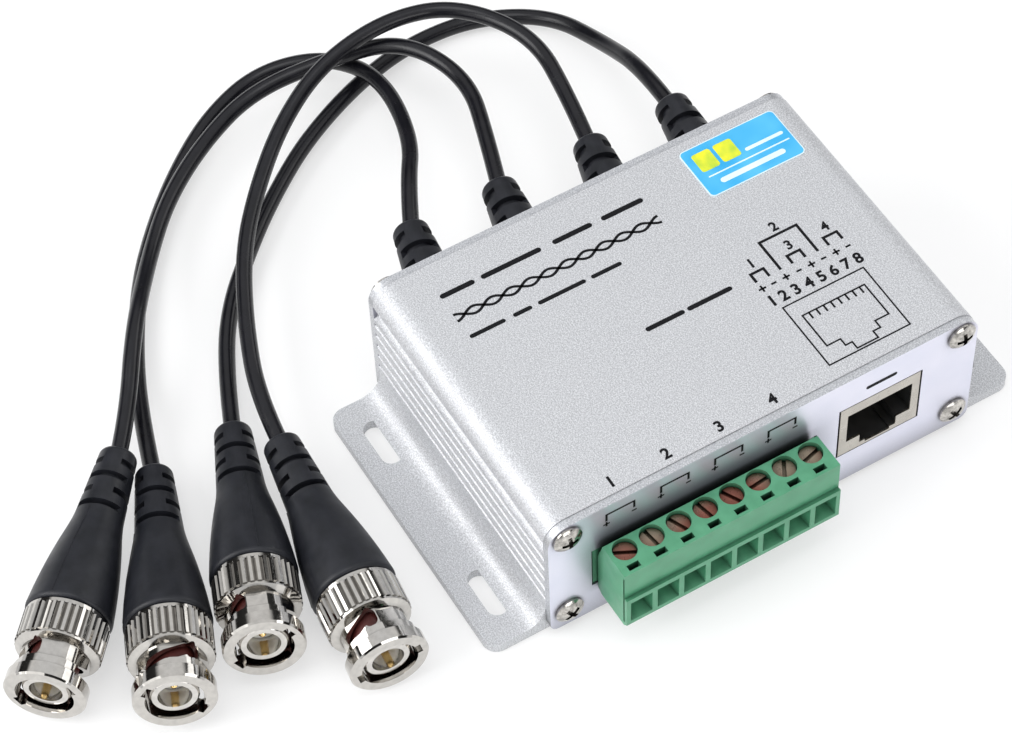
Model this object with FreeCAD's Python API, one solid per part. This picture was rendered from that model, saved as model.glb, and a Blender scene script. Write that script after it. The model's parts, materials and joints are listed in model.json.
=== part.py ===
import FreeCAD, Part
import math
import os

os.makedirs("parts", exist_ok=True)

Vector = FreeCAD.Vector

# Frame: millimetres, +Z up, +X towards the socket side of the case, origin midway between
# the four fixing slots on the plane that the case stands on.

# Extruded case
CASE_LENGTH = 55.5
CASE_WIDTH = 83.0
CASE_HEIGHT = 29.5
CASE_FLOOR = 2.0
CASE_ROOF = 2.0
CASE_SIDE_WALL = 2.6
SHOULDER_RADIUS = 4.0
FLUTE_HEIGHT = 3.2
FLUTE_DEPTH = 1.3
GROOVE_COUNT = 5
GROOVE_TOP_DROP = 8.9
GROOVE_PITCH = 2.9
GROOVE_WIDTH = 0.9
GROOVE_DEPTH = 0.7
FLANGE_REACH = 10.6
FLANGE_THICKNESS = 2.0
FLANGE_FILLET = 4.5
FLANGE_CORNER_RADIUS = 2.6
SLOT_END_INSET = 9.95
SLOT_WIDTH = 3.8
SLOT_LENGTH = 9.8

# Screw channels that run the whole length of the case
CHANNEL_SIDE_INSET = 3.5
CHANNEL_LOW_Z = 5.2
CHANNEL_HIGH_DROP = 3.3
CHANNEL_BORE_RADIUS = 1.25
CHANNEL_BOSS_RADIUS = 3.4

# End plates
PLATE_THICKNESS = 1.5
PLATE_FOOT_GAP = 0.8
PLATE_TOP_GAP = 0.2
PLATE_TOP_CORNER_RADIUS = 4.0
PLATE_FOOT_CORNER_RADIUS = 1.8
PLATE_HOLE_RADIUS = 1.5

# Plate screws
SCREW_SHANK_RADIUS = 1.2
SCREW_SHANK_LENGTH = 7.0
SCREW_HEAD_RADIUS = 2.65
SCREW_HEAD_EDGE = 0.5
SCREW_HEAD_HEIGHT = 1.4
SCREW_DOME_MIDDLE = (1.175, 1.537)
SCREW_CROSS_LENGTH = 3.0
SCREW_CROSS_WIDTH = 0.75
SCREW_CROSS_DEPTH = 0.8
SCREW_TURN = 7.0

# Circuit board, held in grooves of the case
BOARD_THICKNESS = 1.6
BOARD_TOP_Z = 8.7
BOARD_SIDE_INSET = 5.1
BOARD_END_GAP = 0.3
BOARD_SIDE_GAP = 0.2
BOARD_FACE_GAP = 0.1
RAIL_DEPTH = 1.8
RAIL_LIP = 1.2
RAIL_WEB_WIDTH = 2.2

# Network socket
JACK_SIDE_INSET = 19.025
JACK_WIDTH = 15.85
JACK_HEIGHT = 12.9
JACK_DEPTH = 18.0
JACK_SHEET = 0.3
JACK_CUT_OUT_GAP = 0.35
JACK_INSERT_GAP = 0.05
PORT_HALF_WIDTH = 6.4
PORT_LOW_RISE = 3.2
PORT_HIGH_RISE = 10.5
PORT_DEPTH = 15.3
LATCH_HALF_WIDTH = 3.65
LATCH_RISE = 1.1
LATCH_TAB_HALF_WIDTH = 2.45
LATCH_TAB_RISE = 0.5
CONTACT_COUNT = 8
CONTACT_PITCH = 1.02
CONTACT_WIDTH = 0.5
CONTACT_THICKNESS = 0.3
CONTACT_FLAT_START = 1.65
CONTACT_FLAT_LENGTH = 1.8
CONTACT_LENGTH = 9.4
CONTACT_DROP = 2.5

# Terminal block: header on the board, and the plug that pulls off it
WAYS = 8
WAY_PITCH = 5.08
TERMINAL_SIDE_INSET = 29.7
HEADER_END_MARGIN = 1.08
HEADER_HEIGHT = 9.7
HEADER_LENGTH = 9.5
HEADER_FRONT_SETBACK = 0.25
HEADER_WALL = 1.2
HEADER_BACK_WALL = 2.0
HEADER_CUT_OUT_GAP = 0.3
HEADER_FLOOR_GAP = 0.2
PIN_SIDE = 1.0
PIN_END_SETBACK = 0.6
PIN_BEND_SETBACK = 1.3
PIN_TAIL = 2.0
PIN_HOLE_GAP = 0.05
BOARD_PIN_HOLE_RADIUS = 0.8
PLUG_END_MARGIN = 0.28
PLUG_FACE_GAP = 0.1
PLUG_FOOT_DROP = 2.2
PLUG_HEIGHT = 14.7
PLUG_TOP_DEPTH = 8.25
PLUG_LEDGE_RISE = 8.2
PLUG_LEDGE_REACH = 0.7
PLUG_BACK_BEVEL = 1.55
PLUG_BACK_BEVEL_HEIGHT = 4.7
PLUG_FOOT_CHAMFER = 1.0
TONGUE_GAP = 0.15
TONGUE_LENGTH = 7.5
END_GROOVE_WIDTH = 0.35
END_GROOVE_DEPTH = 0.4
END_GROOVE_SETBACK = 0.4
SOCKET_WIDTH = 1.7
SOCKET_ROOF_GAP = 0.3
WIRE_MOUTH_WIDTH = 4.1
WIRE_MOUTH_RISE = 1.9
WIRE_MOUTH_HEIGHT = 5.2
FUNNEL_DEPTH = 3.5
CAGE_LENGTH = 3.0
CAGE_WIDTH = 3.7
CAGE_HEIGHT = 4.3
CAGE_SHEET = 0.45
CAGE_GAP = 0.05
CLAMP_SETBACK = 4.5
CLAMP_WELL_RADIUS = 2.1
CLAMP_WELL_DEPTH = 2.3
CLAMP_HEAD_RADIUS = 1.95
CLAMP_HEAD_HEIGHT = 1.35
CLAMP_SHANK_RADIUS = 1.2
CLAMP_SHANK_GAP = 0.1
CLAMP_DRIVE_WIDTH = 0.7
CLAMP_DRIVE_DEPTH = 0.7
CLAMP_DRIVE_ANGLES = (62, 8, 24, 12, 28, 96, 150, 105)
TEST_SLOT_LENGTH = 2.2
TEST_SLOT_WIDTH = 1.1
TEST_SLOT_DEPTH = 3.0
TEST_SLOT_SETBACK = 1.1
TEST_SLOT_OFFSET = 0.4
LEAF_THICKNESS = 0.25
LEAF_GAP = 0.05
TAB_THICKNESS = 0.3
TAB_WIDTH = 1.4

# Transformers on the board, one for each lead
TRANSFORMER_SETBACK = 18.75
TRANSFORMER_RADIUS = 4.6
TRANSFORMER_BORE_RADIUS = 1.8
TRANSFORMER_HEIGHT = 4.8
TRANSFORMER_ROUNDING = 0.8

# Label on the roof
LABEL_END_INSET = 1.95
LABEL_SIDE_INSET = 4.9
LABEL_LENGTH_X = 11.15
LABEL_LENGTH_Y = 19.15
LABEL_THICKNESS = 0.15
LABEL_CORNER_RADIUS = 1.0

# Coaxial leads and the sleeves where they leave the rear plate
CORD_DIAMETER = 3.0
LEAD_PITCH = 18.4
LEAD_Z = 14.5
NECK_RADIUS = 3.9
NECK_GAP = 0.1
SLEEVE_FLANGE_RADIUS = 5.0
SLEEVE_FLANGE_THICKNESS = 1.5
COLLAR_RADIUS = 5.0
COLLAR_LENGTH = 2.0
SLEEVE_LENGTH = 16.0
SLEEVE_ROOT_RADIUS = 4.75
SLEEVE_TIP_RADIUS = 3.3
SLEEVE_TIP_ROUNDING = 1.1
SLEEVE_SUNK = 1.1
SLEEVE_WINDOW_STARTS = (1.6, 5.1, 8.6, 12.0)
WINDOW_LENGTH = 1.7
WINDOW_CORE_RADIUS = 2.5
WINDOW_SPAN = 125.0
WINDOW_REACH = 6.0
TAIL_RADIUS = 0.9
TAIL_RUN = 6.0
TAIL_BEND_RADIUS = 3.0

# Bayonet plug, measured back from the front face of its coupling ring
RING_LENGTH = 14.5
RING_FLANGE_RADIUS = 6.9
RING_FLANGE_END = 2.4
RIM_CHAMFER = 0.3
RING_STEP_RADIUS = 6.3
RING_STEP_END = 4.2
RING_WAIST_RADIUS = 5.8
RING_WAIST_END = 7.4
RING_BEVEL_END = 8.0
RING_KNURL_START = 8.5
RING_REAR_LIP = 0.7
RING_GRIP_RADIUS = 7.05
KNURL_RADIUS = 7.3
KNURL_ROOT_RADIUS = 6.9
KNURL_CORE_RADIUS = 6.8
KNURL_COUNT = 36
KNURL_TOOTH_STEPS = ((0.0, KNURL_RADIUS), (0.4, KNURL_RADIUS), (0.7, KNURL_ROOT_RADIUS))
RING_BORE_RADIUS = 4.9
RING_REAR_WALL = 1.3
RING_END_PLAY = 0.1
RUNNING_GAP = 0.08
ENTRY_WIDTH = 2.2
ENTRY_RADIUS = 5.7
FLAT_COUNT = 6
WAIST_FLAT_DISTANCE = 5.55
STEP_FLAT_DISTANCE = 6.05
BAYONET_WIDTH = 2.3
BAYONET_START = 3.6
BAYONET_END = 6.5
BAYONET_TURN = 95.0
BAYONET_HOOK = 0.9
BAYONET_OVERCUT = 0.5
CONTACT_SLEEVE_RADIUS = 4.05
CONTACT_SLEEVE_BORE_RADIUS = 2.8
CONTACT_SLEEVE_START = 0.9
BODY_FLANGE_RADIUS = 5.5
BODY_FLANGE_THICKNESS = 1.6
BODY_NECK_RADIUS = 4.5
BODY_BORE_REACH = 0.3
BODY_HUB_RADIUS = 5.0
BODY_HUB_LENGTH = 7.3
SEAL_START = 3.0
SEAL_SKIN = 0.15
SEAL_FOOT_RADIUS = 4.55
SEAL_FOOT_LENGTH = 1.0
WASHER_RADIUS = 5.45
WASHER_BORE_RADIUS = 4.95
WASHER_THICKNESS = 0.8
WASHER_GAP = 0.1
INSULATOR_START = 4.6
INSULATOR_RADIUS = 2.75
INSULATOR_DISH_RADIUS = 2.0
INSULATOR_DISH_DEPTH = 1.2
PIN_RADIUS = 0.68
PIN_START = 2.6
PIN_TIP = 0.9
PIN_TIP_MIDDLE = (0.18, 0.408)
PIN_BORE_GAP = 0.04
PLUG_SLEEVE_LENGTH = 33.6
PLUG_SLEEVE_BACK_GAP = 0.2
PLUG_SLEEVE_OUTLINE = ((1.0, 7.4), (5.0, 6.95), (10.0, 6.2), (15.0, 5.2), (18.5, 4.45),
                       (20.3, 4.2))
PLUG_SLEEVE_RIM_ROUNDING = 0.7
PLUG_SLEEVE_TIP_RADIUS = 3.3
PLUG_SLEEVE_TIP_ROUNDING = 1.0
PLUG_SLEEVE_WINDOW_STARTS = (20.6, 23.7, 26.7, 29.8)
PLUG_WINDOW_LENGTH = 1.2
CORD_ARC_SHARE = 0.45

# One row a lead: turn of the case sleeve towards +Y, front of the plug, heading and rise of the
# plug, turn of its coupling ring, first and last run of the cord, and the points between them.
LEADS = (
    (12.0, (13.17, -101.74, 9.06), -22.1, 5.95, 140.0, 9.8, 10.4,
     ((-67.3, -12.6, 12.5), (-86.4, -8.3, 7.6), (-98.3, -14.0, 4.4), (-103.6, -26.0, 2.8),
      (-99.9, -38.5, 1.6), (-90.9, -50.6, 1.6), (-80.7, -60.5, 1.6), (-70.2, -67.6, 1.6),
      (-55.7, -74.4, 1.6))),
    (10.5, (0.59, -119.15, 7.79), -40.9, 1.1, 25.0, 10.4, 9.2,
     ((-72.8, 3.3, 11.1), (-88.6, -3.3, 11.7), (-94.7, -15.1, 9.7), (-95.5, -29.8, 6.8),
      (-90.8, -43.2, 5.3), (-82.4, -54.8, 5.1), (-72.2, -63.8, 5.2), (-55.7, -74.8, 9.9))),
    (11.7, (24.47, -68.7, 7.67), -6.6, 0.6, 187.0, 10.6, 9.9,
     ((-74.0, 16.7, 14.6), (-87.4, 8.3, 15.0), (-90.9, -4.3, 15.9), (-89.6, -18.9, 14.0),
      (-83.5, -31.1, 11.2), (-73.9, -41.4, 8.6), (-62.9, -49.9, 7.1), (-48.6, -57.6, 7.4))),
    (7.0, (12.32, -85.03, 9.42), -20.8, 7.2, 30.0, 10.4, 10.3,
     ((-72.6, 31.4, 5.8), (-86.5, 27.0, 2.4), (-93.6, 15.9, 1.6), (-94.8, 2.1, 1.6),
      (-91.8, -11.9, 1.6), (-85.7, -24.5, 1.6), (-77.3, -36.0, 1.6), (-68.4, -46.4, 1.6),
      (-56.6, -56.3, 1.6))),
)

# Worked out from the sizes above
HALF_LENGTH = CASE_LENGTH / 2
HALF_WIDTH = CASE_WIDTH / 2
FRONT_FACE_X = HALF_LENGTH + PLATE_THICKNESS
REAR_FACE_X = -FRONT_FACE_X
INNER_Y = HALF_WIDTH - CASE_SIDE_WALL
INNER_TOP_Z = CASE_HEIGHT - CASE_ROOF
SLOT_X = HALF_LENGTH - SLOT_END_INSET
SLOT_Y = HALF_WIDTH + FLANGE_REACH / 2
BOARD_LOW_Z = BOARD_TOP_Z - BOARD_THICKNESS
BOARD_EDGE_Y = HALF_WIDTH - BOARD_SIDE_INSET
JACK_CENTRE_Y = HALF_WIDTH - JACK_SIDE_INSET
PORT_HIGH_Z = BOARD_TOP_Z + PORT_HIGH_RISE
TERMINAL_CENTRE_Y = -HALF_WIDTH + TERMINAL_SIDE_INSET
HEADER_WIDTH = WAYS * WAY_PITCH + 2 * HEADER_END_MARGIN
PLUG_WIDTH = WAYS * WAY_PITCH + 2 * PLUG_END_MARGIN
PIN_Z = BOARD_TOP_Z + HEADER_HEIGHT / 2
HEADER_FRONT_X = FRONT_FACE_X - HEADER_FRONT_SETBACK
HEADER_BACK_X = HEADER_FRONT_X - HEADER_LENGTH
PLUG_BACK_X = FRONT_FACE_X + PLUG_FACE_GAP
PLUG_TOP_FRONT_X = PLUG_BACK_X + PLUG_TOP_DEPTH
PLUG_FRONT_X = PLUG_TOP_FRONT_X + PLUG_LEDGE_REACH
PLUG_LOW_Z = BOARD_TOP_Z - PLUG_FOOT_DROP
PLUG_HIGH_Z = PLUG_LOW_Z + PLUG_HEIGHT
WIRE_MOUTH_LOW_Z = PLUG_LOW_Z + WIRE_MOUTH_RISE
WIRE_MOUTH_HIGH_Z = WIRE_MOUTH_LOW_Z + WIRE_MOUTH_HEIGHT
CLAMP_X = PLUG_TOP_FRONT_X - CLAMP_SETBACK
CAGE_FRONT_X = PLUG_FRONT_X - FUNNEL_DEPTH - CAGE_GAP
CAGE_BACK_X = CAGE_FRONT_X - CAGE_LENGTH
CAGE_LOW_Z = WIRE_MOUTH_LOW_Z + (WIRE_MOUTH_HEIGHT - CAGE_HEIGHT) / 2
CAGE_HIGH_Z = CAGE_LOW_Z + CAGE_HEIGHT
TAB_LOW_Z = CAGE_HIGH_Z - CAGE_SHEET - CAGE_GAP - TAB_THICKNESS
TAB_HIGH_Z = TAB_LOW_Z + TAB_THICKNESS
PIN_BEND_X = HEADER_BACK_X - PIN_BEND_SETBACK
TRANSFORMER_X = -HALF_LENGTH + TRANSFORMER_SETBACK
LABEL_LOW_X = -HALF_LENGTH + LABEL_END_INSET
LABEL_HIGH_Y = HALF_WIDTH - LABEL_SIDE_INSET
WAY_YS = [TERMINAL_CENTRE_Y + (way - (WAYS - 1) / 2) * WAY_PITCH for way in range(WAYS)]
LEAD_YS = [(lead - (len(LEADS) - 1) / 2) * LEAD_PITCH for lead in range(len(LEADS))]
CHANNEL_Y = HALF_WIDTH - CHANNEL_SIDE_INSET
CHANNEL_HIGH_Z = CASE_HEIGHT - CHANNEL_HIGH_DROP
CHANNELS = [(side * CHANNEL_Y, z) for side in (-1, 1) for z in (CHANNEL_LOW_Z, CHANNEL_HIGH_Z)]
SEAT_RADIUS = BODY_FLANGE_RADIUS + RUNNING_GAP
RING_KNURL_END = RING_LENGTH - RING_REAR_LIP
RING_SEAT_END = RING_LENGTH - RING_REAR_WALL
BODY_FLANGE_END = RING_SEAT_END - RING_END_PLAY
BODY_FLANGE_START = BODY_FLANGE_END - BODY_FLANGE_THICKNESS
RING_BORE_END = BODY_FLANGE_START - WASHER_THICKNESS - WASHER_GAP
BODY_HUB_START = RING_LENGTH + PLUG_SLEEVE_BACK_GAP
BODY_BORE_END = BODY_HUB_START + BODY_BORE_REACH
BODY_END = BODY_HUB_START + BODY_HUB_LENGTH
REAR_BORE_RADIUS = BODY_NECK_RADIUS + RUNNING_GAP
CORD_RADIUS = CORD_DIAMETER / 2


def box(low_x, high_x, low_y, high_y, low_z, high_z):
    corner = Vector(low_x, low_y, low_z)
    return Part.makeBox(high_x - low_x, high_y - low_y, high_z - low_z, corner)


def rod_x(low_x, high_x, y, z, radius):
    return Part.makeCylinder(radius, high_x - low_x, Vector(low_x, y, z), Vector(1, 0, 0))


def rod_z(x, y, low_z, high_z, radius):
    return Part.makeCylinder(radius, high_z - low_z, Vector(x, y, low_z), Vector(0, 0, 1))


def outline_edges(start, steps, place):
    """Edges through the steps; a step of two points is an arc by way of the first."""
    edges = []
    here = place(*start)
    for step in steps:
        if isinstance(step[0], tuple):
            end = place(*step[1])
            edges.append(Part.Arc(here, place(*step[0]), end).toShape())
        else:
            end = place(*step)
            edges.append(Part.LineSegment(here, end).toShape())
        here = end
    return edges


def outline(start, steps, place):
    return Part.Face(Part.Wire(outline_edges(start, steps, place)))


def prism_yz(start, steps, low_x, high_x):
    face = outline(start, steps, lambda y, z: Vector(low_x, y, z))
    return face.extrude(Vector(high_x - low_x, 0, 0))


def prism_xz(start, steps, low_y, high_y):
    face = outline(start, steps, lambda x, z: Vector(x, low_y, z))
    return face.extrude(Vector(0, high_y - low_y, 0))


def turned_edges(start, steps):
    return outline_edges(start, steps, lambda x, radius: Vector(x, 0, radius))


def turned(start, steps):
    """Solid of revolution about the X axis from steps of (x, radius)."""
    face = Part.Face(Part.Wire(turned_edges(start, steps)))
    return face.revolve(Vector(0, 0, 0), Vector(1, 0, 0), 360)


def quarter(from_x, from_radius, to_x, to_radius, centre_x, centre_radius):
    """Arc step of a turned outline: a quarter circle about a centre."""
    spread = math.hypot(from_x - centre_x, from_radius - centre_radius)
    middle_x = (from_x + to_x) / 2 - centre_x
    middle_radius = (from_radius + to_radius) / 2 - centre_radius
    share = spread / math.hypot(middle_x, middle_radius)
    by_way_of = (centre_x + middle_x * share, centre_radius + middle_radius * share)
    return (by_way_of, (to_x, to_radius))


def ring_x(low_x, high_x, radius, bore_radius):
    return rod_x(low_x, high_x, 0, 0, radius).cut(rod_x(low_x, high_x, 0, 0, bore_radius))


def mirrored_y(shape):
    return shape.mirror(Vector(0, 0, 0), Vector(0, 1, 0))


def mirrored_x(shape):
    return shape.mirror(Vector(0, 0, 0), Vector(1, 0, 0))


def put(shape, point, heading, rise=0.0):
    """Copy of a shape drawn along +X, raised, turned about Z and moved to a point."""
    copy = shape.copy()
    copy.rotate(Vector(0, 0, 0), Vector(0, 1, 0), -rise)
    copy.rotate(Vector(0, 0, 0), Vector(0, 0, 1), heading)
    copy.translate(point)
    return copy


def save(name, solids):
    shape = solids[0] if len(solids) == 1 else Part.Compound(solids)
    shape.exportStep(os.path.join("parts", name + ".step"))


# Case
def slot(x, y):
    radius = SLOT_WIDTH / 2
    reach = SLOT_LENGTH / 2 - radius
    middle = box(x - reach, x + reach, y - radius, y + radius, 0, FLANGE_THICKNESS)
    ends = [rod_z(x + side * reach, y, 0, FLANGE_THICKNESS, radius) for side in (-1, 1)]
    return middle.fuse(ends).removeSplitter()


def flank_steps():
    """Outer line of one flank, from the flange to the roof."""
    bend = FLANGE_FILLET * (1 - math.sqrt(0.5))
    steps = [
        (HALF_WIDTH + FLANGE_REACH, 0),
        (HALF_WIDTH + FLANGE_REACH, FLANGE_THICKNESS),
        (HALF_WIDTH + FLANGE_FILLET, FLANGE_THICKNESS),
        ((HALF_WIDTH + bend, FLANGE_THICKNESS + bend),
         (HALF_WIDTH, FLANGE_THICKNESS + FLANGE_FILLET)),
    ]
    for groove in reversed(range(GROOVE_COUNT)):
        z = CASE_HEIGHT - GROOVE_TOP_DROP - groove * GROOVE_PITCH
        steps.append((HALF_WIDTH, z - GROOVE_WIDTH / 2))
        steps.append((HALF_WIDTH - GROOVE_DEPTH, z))
        steps.append((HALF_WIDTH, z + GROOVE_WIDTH / 2))
    flute_top = CASE_HEIGHT - SHOULDER_RADIUS
    corner = SHOULDER_RADIUS * (1 - math.sqrt(0.5))
    steps += [
        (HALF_WIDTH, flute_top - FLUTE_HEIGHT),
        ((HALF_WIDTH - FLUTE_DEPTH, flute_top - FLUTE_HEIGHT / 2), (HALF_WIDTH, flute_top)),
        ((HALF_WIDTH - corner, CASE_HEIGHT - corner),
         (HALF_WIDTH - SHOULDER_RADIUS, CASE_HEIGHT)),
        (0, CASE_HEIGHT),
        (0, 0),
    ]
    return steps


def case_cavity():
    cavity = box(-HALF_LENGTH, HALF_LENGTH, -INNER_Y, INNER_Y, CASE_FLOOR, INNER_TOP_Z)
    bosses = [rod_x(-HALF_LENGTH, HALF_LENGTH, y, z, CHANNEL_BOSS_RADIUS) for y, z in CHANNELS]
    rail_low = BOARD_LOW_Z - BOARD_FACE_GAP
    rail_high = BOARD_TOP_Z + BOARD_FACE_GAP
    rails = []
    grooves = []
    for side in (-1, 1):
        inner = side * (BOARD_EDGE_Y - RAIL_DEPTH)
        outer = side * (BOARD_EDGE_Y + RAIL_WEB_WIDTH)
        low_y, high_y = sorted((inner, outer))
        rails.append(box(-HALF_LENGTH, HALF_LENGTH, low_y, high_y,
                         CASE_FLOOR, rail_high + RAIL_LIP))
        low_y, high_y = sorted((inner, side * (BOARD_EDGE_Y + BOARD_SIDE_GAP)))
        grooves.append(box(-HALF_LENGTH, HALF_LENGTH, low_y, high_y, rail_low, rail_high))
    return cavity.cut(bosses + rails).fuse(grooves).removeSplitter()


def housing():
    half = prism_yz((0, 0), flank_steps(), -HALF_LENGTH, HALF_LENGTH)
    shell = half.fuse(mirrored_y(half)).removeSplitter()
    shell = shell.cut(case_cavity())
    shell = shell.cut([rod_x(-HALF_LENGTH, HALF_LENGTH, y, z, CHANNEL_BORE_RADIUS)
                       for y, z in CHANNELS])
    shell = shell.cut([slot(side_x * SLOT_X, side_y * SLOT_Y)
                       for side_x in (-1, 1) for side_y in (-1, 1)])
    reach = HALF_WIDTH + FLANGE_REACH
    corners = [edge for edge in shell.Edges
               if abs(abs(edge.CenterOfMass.x) - HALF_LENGTH) < 0.01
               and abs(abs(edge.CenterOfMass.y) - reach) < 0.01
               and abs(edge.CenterOfMass.z - FLANGE_THICKNESS / 2) < 0.01]
    return shell.makeFillet(FLANGE_CORNER_RADIUS, corners)


# End plates
def blank_plate():
    high_z = CASE_HEIGHT - PLATE_TOP_GAP
    plate = box(HALF_LENGTH, FRONT_FACE_X, -HALF_WIDTH, HALF_WIDTH, PLATE_FOOT_GAP, high_z)
    corners = ((high_z, PLATE_TOP_CORNER_RADIUS), (PLATE_FOOT_GAP, PLATE_FOOT_CORNER_RADIUS))
    for z, radius in corners:
        edges = [edge for edge in plate.Edges
                 if abs(edge.CenterOfMass.z - z) < 0.001
                 and abs(abs(edge.CenterOfMass.y) - HALF_WIDTH) < 0.001]
        plate = plate.makeFillet(radius, edges)
    return plate.cut([rod_x(HALF_LENGTH, FRONT_FACE_X, y, z, PLATE_HOLE_RADIUS)
                      for y, z in CHANNELS])


def front_plate():
    jack_half = JACK_WIDTH / 2 + JACK_CUT_OUT_GAP
    jack = box(HALF_LENGTH, FRONT_FACE_X, JACK_CENTRE_Y - jack_half, JACK_CENTRE_Y + jack_half,
               BOARD_TOP_Z - HEADER_FLOOR_GAP, BOARD_TOP_Z + JACK_HEIGHT + HEADER_FLOOR_GAP)
    header_half = HEADER_WIDTH / 2 + HEADER_CUT_OUT_GAP
    terminal = box(HALF_LENGTH, FRONT_FACE_X, TERMINAL_CENTRE_Y - header_half,
                   TERMINAL_CENTRE_Y + header_half, BOARD_TOP_Z - HEADER_FLOOR_GAP,
                   BOARD_TOP_Z + HEADER_HEIGHT + HEADER_FLOOR_GAP)
    return blank_plate().cut([jack, terminal])


def rear_plate():
    holes = [rod_x(HALF_LENGTH, FRONT_FACE_X, y, LEAD_Z, NECK_RADIUS + NECK_GAP)
             for y in LEAD_YS]
    return mirrored_x(blank_plate().cut(holes))


def plate_screw(y, z):
    """Pan-head screw with a cross recess, seen from +X."""
    screw = turned((-SCREW_SHANK_LENGTH, 0), [
        (-SCREW_SHANK_LENGTH, SCREW_SHANK_RADIUS),
        (0, SCREW_SHANK_RADIUS),
        (0, SCREW_HEAD_RADIUS),
        (SCREW_HEAD_EDGE, SCREW_HEAD_RADIUS),
        (SCREW_DOME_MIDDLE, (SCREW_HEAD_HEIGHT, 0)),
        (-SCREW_SHANK_LENGTH, 0),
    ])
    half_length = SCREW_CROSS_LENGTH / 2
    half_width = SCREW_CROSS_WIDTH / 2
    low_x = SCREW_HEAD_HEIGHT - SCREW_CROSS_DEPTH
    high_x = SCREW_HEAD_HEIGHT + SCREW_CROSS_DEPTH
    upright = box(low_x, high_x, -half_width, half_width, -half_length, half_length)
    level = box(low_x, high_x, -half_length, half_length, -half_width, half_width)
    screw = screw.cut(upright.fuse(level))
    screw.rotate(Vector(0, 0, 0), Vector(1, 0, 0), SCREW_TURN * z)
    screw.translate(Vector(FRONT_FACE_X, y, z))
    return screw


# Circuit board and what stands on it
def circuit_board():
    end_x = HALF_LENGTH - BOARD_END_GAP
    board = box(-end_x, end_x, -BOARD_EDGE_Y, BOARD_EDGE_Y, BOARD_LOW_Z, BOARD_TOP_Z)
    return board.cut([rod_z(PIN_BEND_X, y, BOARD_LOW_Z, BOARD_TOP_Z, BOARD_PIN_HOLE_RADIUS)
                      for y in WAY_YS])


def transformer(y):
    bore = TRANSFORMER_BORE_RADIUS
    radius = TRANSFORMER_RADIUS
    core = rod_z(TRANSFORMER_X, y, BOARD_TOP_Z, BOARD_TOP_Z + TRANSFORMER_HEIGHT, radius)
    core = core.makeFillet(TRANSFORMER_ROUNDING, core.Edges)
    return core.cut(rod_z(TRANSFORMER_X, y, BOARD_TOP_Z, BOARD_TOP_Z + TRANSFORMER_HEIGHT, bore))


def port_outline(low_x, high_x):
    """Opening for the network plug: a wide port with the two steps of its latch below."""
    steps = []
    low_z = BOARD_TOP_Z + PORT_LOW_RISE
    for side in (-1, 1):
        half = [
            (JACK_CENTRE_Y + side * PORT_HALF_WIDTH, PORT_HIGH_Z),
            (JACK_CENTRE_Y + side * PORT_HALF_WIDTH, low_z),
            (JACK_CENTRE_Y + side * LATCH_HALF_WIDTH, low_z),
            (JACK_CENTRE_Y + side * LATCH_HALF_WIDTH, BOARD_TOP_Z + LATCH_RISE),
            (JACK_CENTRE_Y + side * LATCH_TAB_HALF_WIDTH, BOARD_TOP_Z + LATCH_RISE),
            (JACK_CENTRE_Y + side * LATCH_TAB_HALF_WIDTH, BOARD_TOP_Z + LATCH_TAB_RISE),
        ]
        steps += half if side < 0 else reversed(half)
    return prism_yz(steps[0], steps[1:] + steps[:1], low_x, high_x)


def jack_block(inset, low_x, high_x):
    half = JACK_WIDTH / 2 - inset
    return box(low_x, high_x, JACK_CENTRE_Y - half, JACK_CENTRE_Y + half,
               BOARD_TOP_Z + inset, BOARD_TOP_Z + JACK_HEIGHT - inset)


def network_jack_shell():
    back_x = FRONT_FACE_X - JACK_DEPTH
    shell = jack_block(0, back_x, FRONT_FACE_X)
    shell = shell.cut(jack_block(JACK_SHEET, back_x, FRONT_FACE_X - JACK_SHEET))
    return shell.cut(port_outline(FRONT_FACE_X - JACK_SHEET, FRONT_FACE_X))


def network_jack_insert():
    inset = JACK_SHEET + JACK_INSERT_GAP
    front_x = FRONT_FACE_X - JACK_SHEET - JACK_INSERT_GAP
    insert = jack_block(inset, FRONT_FACE_X - JACK_DEPTH, front_x)
    return insert.cut(port_outline(FRONT_FACE_X - PORT_DEPTH, front_x))


def network_jack_contact(index):
    y = JACK_CENTRE_Y + (index - (CONTACT_COUNT - 1) / 2) * CONTACT_PITCH
    start_x = FRONT_FACE_X - CONTACT_FLAT_START
    bend_x = start_x - CONTACT_FLAT_LENGTH
    end_x = start_x - CONTACT_LENGTH
    end_z = PORT_HIGH_Z - CONTACT_DROP
    return prism_xz((start_x, PORT_HIGH_Z), [
        (bend_x, PORT_HIGH_Z), (end_x, end_z), (end_x, end_z - CONTACT_THICKNESS),
        (bend_x, PORT_HIGH_Z - CONTACT_THICKNESS), (start_x, PORT_HIGH_Z - CONTACT_THICKNESS),
        (start_x, PORT_HIGH_Z),
    ], y - CONTACT_WIDTH / 2, y + CONTACT_WIDTH / 2)


# Terminal header
def header_pin(y, gap=0.0):
    half = PIN_SIDE / 2 + gap
    end_x = HEADER_FRONT_X - PIN_END_SETBACK
    level = box(PIN_BEND_X - half, end_x, y - half, y + half, PIN_Z - half, PIN_Z + half)
    upright = box(PIN_BEND_X - half, PIN_BEND_X + half, y - half, y + half,
                  BOARD_LOW_Z - PIN_TAIL, PIN_Z + half)
    return level.fuse(upright).removeSplitter()


def header_block(inset, low_x, high_x):
    half = HEADER_WIDTH / 2 - inset
    return box(low_x, high_x, TERMINAL_CENTRE_Y - half, TERMINAL_CENTRE_Y + half,
               BOARD_TOP_Z + inset, BOARD_TOP_Z + HEADER_HEIGHT - inset)


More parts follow.
